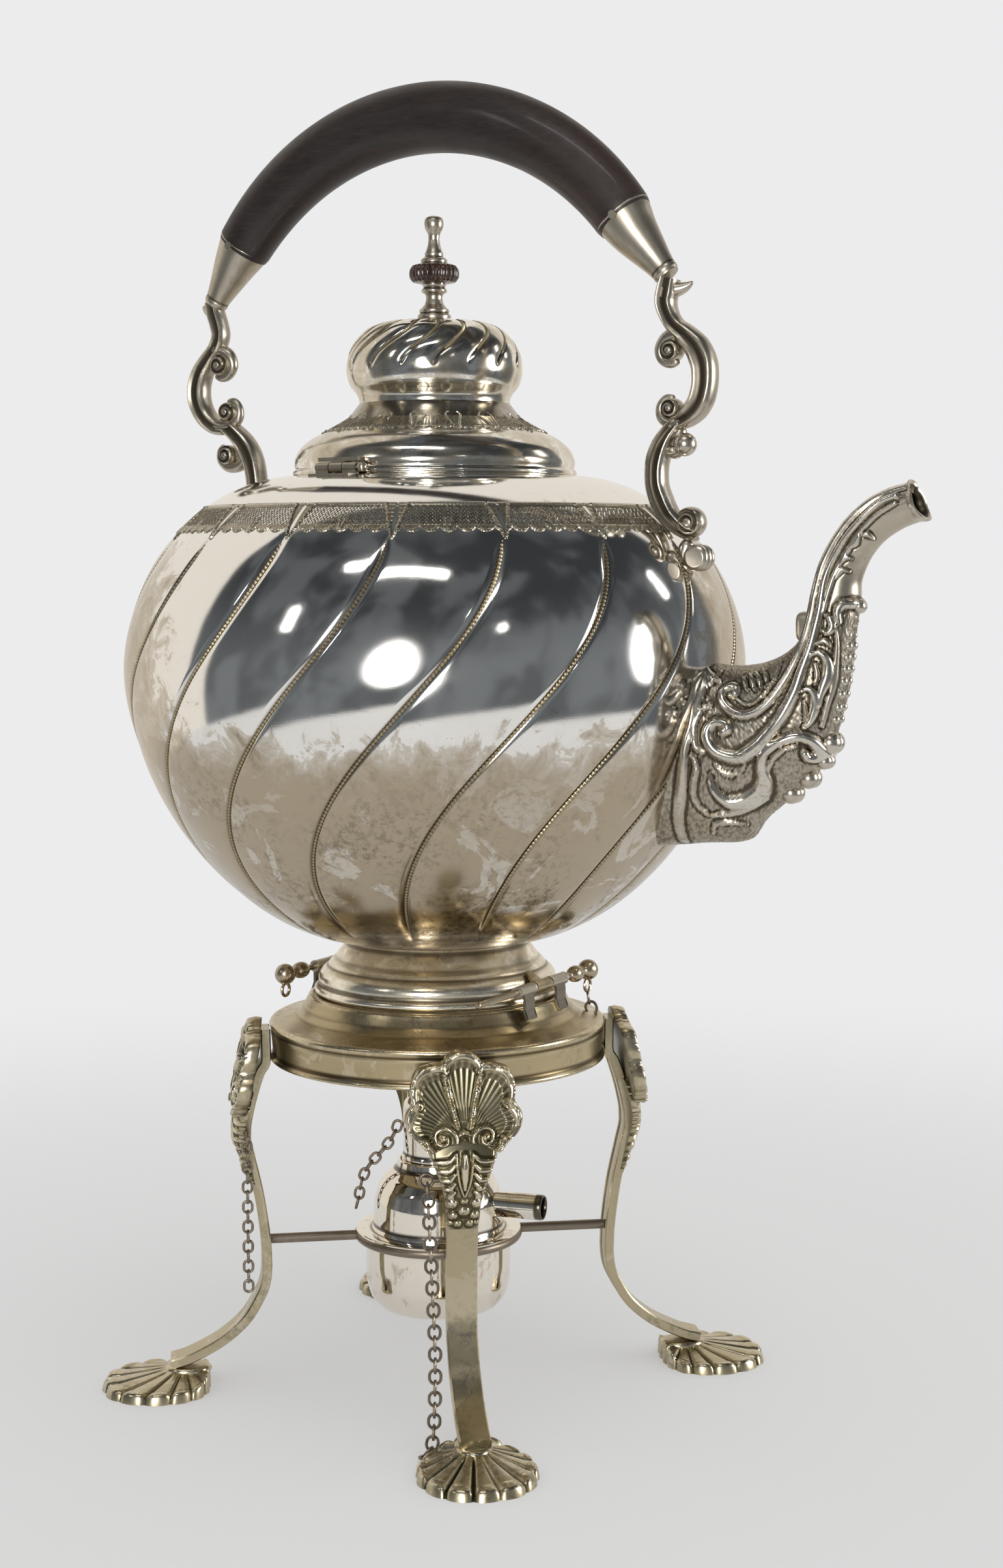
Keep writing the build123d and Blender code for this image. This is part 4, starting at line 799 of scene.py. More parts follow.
# Lid: shares of its rise at radii from the rim up to the finial
FLUTE_START = 9.0
LID_TURN = 27.0
LID_RISE = LID_TOP_Z - RIM_Z
LID_SHARES = [
    (LID - 0.9, -0.004), (LID, 0.006), (LID + 0.15, 0.02), (LID - 0.1, 0.036), (LID - 0.7, 0.044),
    (LID - 0.55, 0.06), (LID - 0.5, 0.1), (LID - 1.8, 0.165), (LID - 3.9, 0.21), (LID - 6.6, 0.25),
    (LID - 11.4, 0.3), (LID - 17.2, 0.375), (LID - 19.7, 0.445), (LID - 19.9, 0.49), (LID - 19.2, 0.525),
    (LID - 18.3, 0.55), (LID - 17.4, 0.575), (LID - 16.6, 0.62), (LID - 16.2, 0.68), (LID - 16.9, 0.77),
    (LID - 18.9, 0.855), (LID - 22.6, 0.935), (LID - 27.4, 0.973), (LID - 33.5, 0.987), (5.4, 0.998),
    (4.4, 1.004),
]
LID_LINE = np.array([(radius, RIM_Z + LID_RISE * share) for radius, share in LID_SHARES])
LID_CURVE = through(LID_LINE, 900)


def lid_point(travel, lift=0.0):
    """Radius and height on the lid at shares of its outline from the rim up, lifted along the normal."""
    normal = globe_normals(LID_CURVE)
    places = np.linspace(0, 1, len(LID_CURVE))
    radius = np.interp(travel, places, LID_CURVE[:, 0]) + lift * np.interp(travel, places, normal[:, 0])
    height = np.interp(travel, places, LID_CURVE[:, 1]) + lift * np.interp(travel, places, normal[:, 1])
    return radius, height


def lid_swirl(z):
    """Turn of the dome's flutes at a height: none at the dome's widest, eased up to its top."""
    return LID_TURN * smooth(z, RIM_Z + LID_RISE * 0.68, RIM_Z + LID_RISE * 0.975)


def lid_shell():
    """Two-tier lid: its outline carried round, lobes on the dome that crown with the sine of half a turn
    from flute to flute, and its thin wall and collar."""
    rows = 150
    outer = spaced(LID_CURVE, rows)
    normal = globe_normals(outer)
    share = np.linspace(0, LOBES, LOBES * 20 + 1)[None, :]
    near = (share + 0.5) % 1.0 - 0.5
    z = outer[:, 1:]
    dome = smooth(z, RIM_Z + LID_RISE * 0.66, RIM_Z + LID_RISE * 0.72) * smooth(outer[:, :1], 9, 13)
    crown = 0.42 * (np.abs(np.sin(math.pi * near)) ** 0.7 - 0.6)
    notch = -0.4 * np.clip(1 - np.abs(near) * 2 * math.pi * outer[:, :1] / LOBES, 0, 1)
    lift = (crown + notch) * dome
    turn = np.radians(FLUTE_START + LOBE_TURN * share + lid_swirl(z))
    radius = outer[:, :1] + lift * normal[:, :1]
    height = z + lift * normal[:, 1:]
    outside = around(radius, turn, height)
    # The flutes are set deep, so they take tarnish and painted shade.
    deep = -0.6 * smooth(-notch, 0.05, 0.4) * dome
    under = [(4.4, LID_TOP_Z - 0.9), (12, LID_TOP_Z - 1.6), (20, LID_TOP_Z - 4.2), (24.6, LID_TOP_Z - 13),
             (21.6, RIM_Z + 23), (29, RIM_Z + 13.6), (38.6, RIM_Z + 7.4), (39.6, RIM_Z + 1.1),
             (MOUTH - 0.6, RIM_Z + 1.0), (MOUTH - 0.6, RIM_Z - 4), (MOUTH - 1.6, RIM_Z - 4),
             (MOUTH - 1.6, RIM_Z + 0.2), (LID - 0.9, RIM_Z - 0.1)]
    inside = spin(lathe(under, LOBES * 20), FLUTE_START)
    grid = np.concatenate([outside, inside, outside[:1]])
    # The underside and collar are set deep, so they are painted in shade.
    deep = np.concatenate([deep, np.full(inside.shape[:2], -0.5), deep[:1]])
    return grid, deep


def lid_cords():
    """Punched cord in each flute of the dome."""
    skins = []
    for lobe in range(LOBES):
        travel = np.linspace(0.655, 0.862, 190)
        radius, z = lid_point(travel, -0.35)
        turn = np.radians(FLUTE_START + LOBE_TURN * lobe + lid_swirl(z))
        line = spaced(around(radius, turn, z), 116)
        skins.append(roped(line, 0.5, 0.2, line * (1, 1, 0) + (0, 0, 6), 2.4, 1.9))
    return skins


def lid_engraving():
    """Engraved collar on the lid's flare: cross-hatched panels between split darts, and a cord whose
    scallops follow the cosine round the lid. Lines are ridges of the distance from them."""
    per_lobe = 72
    low, high = 0.222, 0.398
    length = 19.0
    travel = np.linspace(low, high, 60)[:, None]
    share = np.arange(LOBES * per_lobe + 1)[None, :] / per_lobe
    local = (share + 0.5) % 1.0 - 0.5
    radius, z = lid_point(travel)
    pitch = 2 * math.pi * radius / LOBES
    x = local * pitch
    y = (travel - low) / (high - low)
    run = y * length
    field = smooth(y, 0.30, 0.33) * (1 - smooth(y, 0.82, 0.86))
    pits = cross_hatch(share * 13, run / 0.95) * field
    wide = np.clip((y - 0.06) / 0.7, 0, 1) * 2.3 * (1 - 0.6 * smooth(y, 0.8, 0.96))
    dart = np.abs(x) - wide
    inside = (1 - smooth(dart, -0.1, 0.12)) * (y > 0.06) * (y < 0.94)
    rim = ridge(dart + 0.1, 0.38) * (y > 0.07) * (y < 0.93)
    split = ridge(x, 0.26) * inside
    edge_y = 0.27 - 0.085 * np.abs(np.cos(math.pi * share * 4)) ** 0.7
    cord = ridge((y - edge_y) * length, 0.42) * (1 - inside)
    top = ridge((y - 0.88) * length, 0.4)
    pits = pits * (1 - inside)
    lift = 0.12 - 0.3 * pits + 0.3 * rim + 0.26 * cord + 0.26 * top - 0.2 * split
    cover = np.maximum(smooth(y, edge_y - 0.03, edge_y + 0.005), np.maximum(inside, rim))
    cover = cover * (1 - smooth(y, 0.9, 0.92))
    ends = smooth(y, 0.0, 0.05) * (1 - smooth(y, 0.95, 1.0))
    lift = np.where(cover > 0.03, lift, -0.25) * ends - 0.35 * (1 - ends)
    relief = np.maximum(np.maximum(rim, cord), top) - 1.2 * pits - 0.5 * split - 0.25 * field * (1 - pits)
    turn = np.radians(-2.0 + LOBE_TURN * share)

    def placed(level, rows):
        """Points on the flare at shares of the lid's outline, lifted by a level."""
        radius, z = lid_point(rows, level)
        return around(radius, turn, z)

    grid = placed(lift, travel)
    back = placed(-0.7 + 0 * lift[:2], travel[::-1][[0, -1]])
    return np.concatenate([grid, back, grid[:1]]), np.concatenate([relief, 0 * back[..., 0], relief[:1]])


make_piece("lid_dome", [lid_shell()], "lid", LID_METAL, ["lid_shell"])
make_piece("lid_cords", lid_cords(), "lid", CORD)
make_piece("lid_engraving", [lid_engraving()], "lid", BAND)

# Finial: stem, fluted wooden disc, and the turned knob
STEM_LINE = [
    (0, 0), (4.9, 0), (5.05, 0.7), (4.9, 1.3), (4.2, 1.7), (4.5, 2.2), (4.5, 2.8), (3.9, 3.2), (2.9, 4.3),
    (2.45, 5.8), (2.5, 7.0), (2.9, 7.6), (3.7, 7.9), (3.9, 8.4), (3.7, 8.9), (3.1, 9.2), (3.3, 9.6),
    (3.6, 10.1), (3.5, 10.5), (0, 10.5),
]
KNOB_LINE = [
    (0, -0.2), (3.7, -0.2), (4.0, 0.4), (3.9, 1.2), (3.2, 1.7), (2.75, 2.0), (2.8, 3.0), (2.5, 3.5),
    (2.15, 4.4), (1.85, 5.6), (1.65, 7.0), (1.7, 8.2), (2.0, 9.1), (2.5, 9.9), (2.8, 10.8), (2.9, 11.8),
    (2.75, 12.8), (2.4, 13.4), (1.7, 13.8), (0.8, 14.0), (0, 14.0),
]


def turned(line, base, columns=160, downwards=False, density=5, crease=(10, -0.9, 0.6)):
    """Turned form with small eased corners, from (radius, distance) points over or under a level. Its relief
    falls with the bend of the outline, so that tarnish and painted shade gather in the creases."""
    fine = spaced(np.array(line, float), density * len(line))
    eased = fine.copy()
    eased[1:-1] = (fine[:-2] + 2 * fine[1:-1] + fine[2:]) / 4
    bend = np.gradient(np.gradient(eased[:, 0]))
    eased[:, 1] = base - eased[:, 1] if downwards else base + eased[:, 1]
    grid = lathe(eased, columns)
    gain, low, high = crease
    return grid, np.repeat(np.clip(-bend * gain, low, high)[:, None], grid.shape[1], 1)


def fluted_disc():
    """Wooden disc with 24 flutes round its edge: the radius grows with the cosine of twelve times the
    turn."""
    bottom, top = extent("finial_disc", "z")
    line = np.array([(0, 0), (3.6, 0), (4.6, 0.02), (6.4, 0.1), (7.2, 0.3), (7.35, 0.5), (7.2, 0.7),
                     (6.4, 0.9), (4.6, 0.98), (3.6, 1), (0, 1)])
    fine = spaced(line * (1, top - bottom), 50)
    grid = lathe(fine + (0, bottom), 240)
    turn = np.linspace(0, 2 * math.pi, 241)[None, :]
    weight = smooth(fine[:, :1], 4.4, 6.6)
    wave = (np.abs(np.cos(12 * turn)) - 0.65) * 0.42 * weight
    grid[..., 0] += wave * np.cos(turn)
    grid[..., 1] += wave * np.sin(turn)
    return grid, wave


stem_z = extent("finial_stem", "z")[0]
knob_z = extent("finial_disc", "z")[1]
FINIAL_TURNING = {"columns": 40, "density": 6, "crease": (12, -1.0, 0.7)}
make_piece("finial_stem_turned", [turned(STEM_LINE, stem_z, **FINIAL_TURNING)], "lid", CAST,
           ["finial_stem"])
make_piece("finial_disc_fluted", [fluted_disc()], "lid", DISC, ["finial_disc"])
screw_low = extent("finial_top", "z")[0]
screw = lathe([(0, screw_low), (1.5, screw_low), (1.5, knob_z), (0, knob_z)], 16)
make_piece("finial_knob", [turned(KNOB_LINE, knob_z, **FINIAL_TURNING), screw], "lid", CAST,
           ["finial_top"])

# Handle grip
GRIP_ARC = 82.7
GRIP_MIDDLE = np.array([-3.0, 0.0, extent("handle_grip", "z")[1] - 10.4 - GRIP_ARC])
GRIP_END = math.degrees(math.asin(64.6 / GRIP_ARC)) + 2.7


def grip_line(low, high, count):
    """Points along the grip's arc between two angles from its crest."""
    turn = np.radians(np.linspace(low, high, count))
    return GRIP_MIDDLE + GRIP_ARC * np.stack([np.sin(turn), 0 * turn, np.cos(turn)], -1)


def grip():
    """Arched wooden grip: an oval section that swells by one less the squared share of the half arc."""
    line = grip_line(-GRIP_END, GRIP_END, 90)
    share = np.linspace(-1, 1, 90)
    swell = 1 - share ** 2
    end = 1 - 0.04 * smooth(np.abs(share), 0.985, 1.0)
    depth = (8.8 + 1.6 * swell) * end
    width = (7.8 + 1.2 * swell) * end
    turn = np.linspace(0, 2 * math.pi, 40, endpoint=False)
    section = np.stack([width[:, None] * np.cos(turn), depth[:, None] * np.sin(turn)], -1)
    return sweep(line, section)


make_piece("grip_arch", [grip()], "kettle", GRIP, ["handle_grip"])


# Ferrules and brackets, in the (reach from the belly, rise over the rim) plane
def plane_point(point, side):
    """Point of the bracket's plane on the front side (1) or the rear side (-1)."""
    point = np.asarray(point, float)
    x = side * (BELLY + point[..., 0])
    return np.stack([x, np.zeros_like(x), RIM_Z + point[..., 1]], -1)


def ferrule(foot, side):
    """Socket that tapers to a ribbed neck over the bracket's head. Its lip bows back with the squared
    cosine of the turn."""
    turn = math.radians(GRIP_END)
    start = GRIP_MIDDLE + GRIP_ARC * np.array([side * math.sin(turn), 0, math.cos(turn)])
    run = np.array([side * math.cos(turn), 0, -math.sin(turn)])
    end = plane_point(foot, side)
    middle = start + 5 * run + (end - start - 5 * run) * 0.5
    line = through([start - 3.2 * run, start, start + 5 * run, middle, end], 70)
    share = np.linspace(0, 1, 70)
    size = along([(0, 1.0), (0.08, 0.99), (0.3, 0.85), (0.55, 0.68), (0.8, 0.51), (1, 0.4)], 70)
    collar = 0.025 * ridge(share - 0.07, 0.02) + 0.03 * ridge(share - 0.95, 0.03)
    size = size + collar
    size[0] -= 0.05
    angle = np.linspace(0, 2 * math.pi, 72, endpoint=False)
    section = np.stack([7.7 * size[:, None] * np.cos(angle), 8.6 * size[:, None] * np.sin(angle)], -1)
    grid = sweep(line, section)
    lobe = np.sin(np.concatenate([angle, angle[:1]])) ** 2
    pull = (1 - smooth(share, 0, 0.12))[:, None, None]
    grid[1:-1] += pull * 1.4 * (1 - lobe)[None, :, None] * run
    grid[0] += 1.4 * (1 - lobe)[:, None] * run
    deep = np.zeros(grid.shape[:2])
    deep[1:-1] = 0.15 - 0.8 * ridge(share - 0.1, 0.012)[:, None] - 0.8 * ridge(share - 0.9, 0.02)[:, None]
    return grid, deep


def scroll_arm(points, halves, side, thick, hollow, count):
    """Scroll along a line of the bracket's plane. Its section is an oval fuller than a circle, by powers
    of the cosine and the sine, with a bead on each face and, as far as it is hollow, a hollow between two
    rims."""
    line = through(points, count)
    half = np.interp(np.linspace(0, 1, count), np.linspace(0, 1, len(halves)), halves)
    turn = np.linspace(0, 2 * math.pi, 56, endpoint=False)
    across = np.sign(np.cos(turn)) * np.abs(np.cos(turn)) ** 0.75
    out = np.sign(np.sin(turn)) * np.abs(np.sin(turn)) ** 0.85
    bead = ridge(out + 0.42 * side, 0.2) - 0.45 * ridge(out + 0.1 * side, 0.16)
    rims = ridge(np.abs(out) - 0.72, 0.26) - 1.5 * ridge(out, 0.5)
    relief = (1 - hollow) * bead + hollow * rims
    shape = np.clip(half / 3.0, 0.55, 1.0)
    rise = 0.7 * relief * (np.abs(across) > 0.3)
    flat = across[None, :] * thick * shape[:, None] + np.sign(across) * rise
    section = np.stack([flat, out[None, :] * half[:, None]], -1)
    grid = sweep(plane_point(line, side), section)
    deep = np.concatenate([relief, relief[:1]]) * 0.8
    return grid, np.repeat(deep[None], grid.shape[0], 0)


def volute(centre, radius, start, hand, side, thick=3.4, pitch=0.46):
    """Rolled scroll end. On both faces a groove winds in to a round eye: its depth falls with the distance
    from a spiral whose radius shrinks by the pitch in each turn."""
    columns = 64
    reach = np.concatenate([np.linspace(0, 0.93, 34), [0.97, 1.0]])[:, None] + np.zeros((1, columns + 1))
    turn = np.linspace(0, 2 * math.pi, columns + 1)[None, :]
    phase = hand * (turn - math.radians(start)) / (2 * math.pi)
    arm = np.abs(((reach - 0.42) / pitch - phase + 0.5) % 1.0 - 0.5) * pitch
    groove = ridge(arm, 0.13) * smooth(reach, 0.26, 0.34) * (1 - smooth(reach, 0.84, 0.92))
    dome = np.sqrt(np.clip(1 - reach ** 6, 0, 1))
    eye = 0.1 * ridge(reach, 0.28)
    face = thick * (dome * (0.93 - 0.42 * groove) + eye)
    face[-1] = 0
    x = side * radius * reach * np.cos(turn)
    z = radius * reach * np.sin(turn)
    middle = plane_point(centre, side)
    front = np.stack([x, face, z], -1)
    back = np.stack([x, -face, z], -1)[::-1]
    deep = 0.4 * (1 - groove) - 0.6 * groove
    return np.concatenate([front, back]) + middle, np.concatenate([deep, deep[::-1]])


def curl(points, radii, side):
    """Tapering hook in the bracket's plane."""
    sizes = np.interp(np.linspace(0, 1, 40), np.linspace(0, 1, len(radii)), radii)
    return rod(plane_point(through(points, 40), side), sizes, (0, 1, 0), 14), 0.4


def foot_roll(centre, radius, side):
    """Curled pad of three rolls side by side, where the bracket is riveted to the body."""
    line = [(0, -3.6), (0.72, -3.6), (0.95, -3.0), (1, -2.3), (0.95, -1.5), (0.8, -1.15), (0.97, -0.8),
            (1.04, 0), (0.97, 0.8), (0.8, 1.15), (0.95, 1.5), (1, 2.3), (0.95, 3.0), (0.72, 3.6), (0, 3.6)]
    fine = spaced(np.array(line) * (radius, 1), 70)
    grid = lathe(fine, 32)
    groove = (np.abs(fine[:, 1:]) < 2.9) * (0.9 - fine[:, :1] / radius)
    # The grooves between the rolls are set deep, for tarnish and painted shade.
    deep = np.repeat(0.35 - 7.0 * np.maximum(groove, 0), grid.shape[1], 1)
    return moved(grid, plane_point(centre, side), (1, 0, 0), (0, 0, 1), (0, 1, 0)), deep


# Arms: line, half widths along it, thickness, hollow, points. Rolls: middle, radius, start, hand and, where
# they differ, thickness and pitch. Curls: line and radii along it. Beads: middle and radius
FRONT_ARMS = [
    ([(-15.4, 54.4), (-16.1, 51.0), (-16.6, 48.1), (-15.9, 45.0), (-13.8, 41.4), (-10.4, 38.6), (-6.9, 35.0),
      (-4.9, 31.0), (-4.3, 27.6), (-4.5, 23.6), (-5.7, 19.6), (-8.0, 16.7), (-11.2, 14.6), (-14.0, 14.2)],
     (2.7, 3.1, 2.9, 2.6, 2.6, 3.1, 3.6, 3.8, 3.7, 3.6, 3.6, 3.4, 2.8, 1.8), 3.3, 0.62, 150),
    ([(-12.6, 14.4), (-15.6, 11.0), (-17.6, 7.4), (-18.9, 3.6), (-19.3, 0.0), (-19.0, -4.0), (-17.4, -8.4),
      (-15.2, -12.2), (-12.4, -15.0), (-9.4, -17.0), (-6.4, -17.8)],
     (1.8, 2.3, 2.9, 3.2, 3.1, 3.1, 3.2, 3.1, 2.8, 2.3, 1.7), 3.2, 0.9, 130),
]
FRONT_ROLLS = [((-14.6, 34.2), 3.3, 70, -1), ((-14.4, 17.9), 3.1, 290, 1),
               ((-8.4, -14.2), 4.5, 200, 1, 3.3, 0.4)]
FRONT_CURLS = [
    ([(-10.6, 39.4), (-13.8, 38.7), (-16.8, 37.3), (-18.4, 34.4), (-17.4, 31.6), (-14.8, 30.5),
      (-12.2, 31.4)], (2.4, 2.3, 2.0, 1.7, 1.5, 1.3, 0.9)),
    ([(-8.4, 15.4), (-11.4, 14.0), (-14.8, 13.9), (-17.6, 15.6), (-18.1, 18.6), (-16.2, 20.9), (-13.4, 20.9)],
     (2.2, 2.1, 1.9, 1.7, 1.4, 1.2, 0.8)),
    ([(-13.4, 12.4), (-12.0, 10.4), (-11.4, 8.6)], (2.2, 2.4, 1.6)),
    ([(-11.0, 6.6), (-13.2, 5.0), (-15.6, 5.2), (-17.0, 3.4), (-17.3, 0.6)], (1.5, 1.2, 1.0, 0.9, 0.5)),
    ([(-15.4, 51.0), (-12.4, 51.3), (-10.2, 51.9), (-8.2, 53.0)], (2.6, 2.1, 1.4, 0.45)),
    ([(-8.2, -19.4), (-10.0, -21.6), (-9.6, -25.0), (-7.4, -28.0)], (1.9, 2.2, 2.2, 1.5)),
]
FRONT_BEADS = [((-10.4, 7.8), 3.4), ((-14.3, 6.2), 1.3)]
REAR_ARMS = [
    ([(-11.8, 56.2), (-12.6, 52.6), (-13.8, 49.0), (-14.4, 45.6), (-13.0, 42.0), (-10.0, 38.4), (-7.0, 34.0),
      (-5.6, 29.4), (-6.0, 24.8), (-8.4, 20.4), (-12.0, 17.4), (-15.8, 16.4)],
     (2.5, 2.6, 2.6, 2.5, 2.5, 2.9, 3.3, 3.5, 3.4, 3.1, 2.7, 1.9), 3.2, 0.62, 140),
    ([(-13.6, 17.8), (-16.6, 17.2), (-20.2, 14.8), (-23.8, 11.2), (-26.4, 6.4), (-27.6, 1.0), (-27.9, -5.0),
      (-28.0, -11.4)], (2.0, 2.6, 2.9, 3.1, 3.0, 2.9, 2.8, 2.9), 3.1, 0.8, 90),
]
REAR_ROLLS = [((-14.8, 36.4), 3.5, 70, -1), ((-17.6, 21.6), 3.3, 290, 1), ((-17.2, 8.2), 3.2, 110, 1)]
REAR_CURLS = [
    ([(-11.0, 41.0), (-14.2, 40.9), (-17.6, 39.4), (-19.0, 36.2), (-17.6, 33.4), (-14.8, 32.4),
      (-12.2, 33.4)], (2.3, 2.2, 2.0, 1.7, 1.5, 1.3, 0.9)),
    ([(-10.4, 18.6), (-14.4, 17.6), (-18.4, 17.8), (-21.0, 19.8), (-21.2, 22.8), (-19.4, 25.0),
      (-16.6, 24.8)], (2.2, 2.1, 1.9, 1.7, 1.4, 1.2, 0.8)),
    ([(-24.4, 9.4), (-22.8, 6.0), (-19.8, 4.4), (-16.4, 4.6), (-13.9, 6.8), (-13.8, 9.8), (-15.6, 11.4)],
     (2.2, 2.0, 1.8, 1.6, 1.4, 1.1, 0.7)),
    ([(-11.8, 53.0), (-9.6, 53.6), (-7.6, 55.2)], (2.2, 1.5, 0.5)),
]


def bracket(side, arms, rolls, curls, beads=()):
    """Cast bracket: the arms that bear it, their rolled ends, the hooks beside them, and beads."""
    skins = [scroll_arm(points, halves, side, *rest) for points, halves, *rest in arms]
    skins += [volute(*roll[:4], side, *roll[4:]) for roll in rolls]
    skins += [curl(points, radii, side) for points, radii in curls]
    skins += [(ball(plane_point(centre, side), radius), 0.5) for centre, radius in beads]
    return skins


make_piece("front_socket", [ferrule((-15.9, 55.1), 1)], "kettle", CAST,
           ["handle_ferrule_front"])
make_piece("rear_socket", [ferrule((-12.2, 55.1), -1)], "kettle", CAST,
           ["handle_ferrule_rear"])
front_scrolls = bracket(1, FRONT_ARMS, FRONT_ROLLS, FRONT_CURLS, FRONT_BEADS)
front_scrolls.append(foot_roll((-5.8, -24.2), 3.8, 1))
make_piece("front_scrolls", front_scrolls, "kettle", CAST, ["handle_bracket_front"])
make_piece("rear_scrolls", bracket(-1, REAR_ARMS, REAR_ROLLS, REAR_CURLS), "kettle", CAST,
           ["handle_bracket_rear"])
dress("handle_rivets", CAST)

# Spout: each section gives its reach from the belly, its rise from the belly, its slope in degrees, and its
# half height and half width
SPOUT_SECTIONS = [
    (-21.0, -22.0, 0, 27.0, 15.5, 1.0), (-8.0, -20.5, 10, 26.0, 15.5, 2.0), (1.0, -19.0, 20, 24.5, 15.0, 4.5),
    (6.5, -17.0, 25, 23.0, 14.5, 1.5), (18.5, -10.5, 45, 19.2, 12.8, 0.5), (27.0, -2.0, 60, 12.8, 10.6, 0.0),
    (32.3, 6.9, 75, 8.3, 8.8, 0.0), (34.8, 14.6, 82, 6.9, 7.6, 0.0), (36.2, 22.8, 80, 6.6, 7.0, 0.0),
    (37.3, 29.2, 68, 6.1, 6.4, 0.0), (40.7, 36.2, 56, 5.8, 6.0, 0.0), (45.9, 42.0, 40, 5.6, 5.8, 0.0),
    (52.4, 45.8, 26, 5.3, 5.5, 0.0), (58.0, 47.6, 16, 5.0, 5.2, 0.0),
]
SPOUT = through(SPOUT_SECTIONS, 300)


def spout_rings(sections, inset=0.0, columns=200):
    """Rings of the spout's skin, drawn in by the inset: an oval, with a keel below it that falls off with
    the eighth power of the cosine of the turn."""
    turn = np.linspace(0, 2 * math.pi, columns + 1)[None, :]
    slope = np.radians(sections[:, 2:3])
    out = np.cos(turn) * (sections[:, 3:4] - inset) - sections[:, 5:6] * np.clip(-np.cos(turn), 0, 1) ** 8
    y = np.sin(turn) * (sections[:, 4:5] - inset)
    x = BELLY + sections[:, 0:1] - np.sin(slope) * out
    z = BELLY_Z + sections[:, 1:2] + np.cos(slope) * out
    return np.stack([x, y, z], -1)


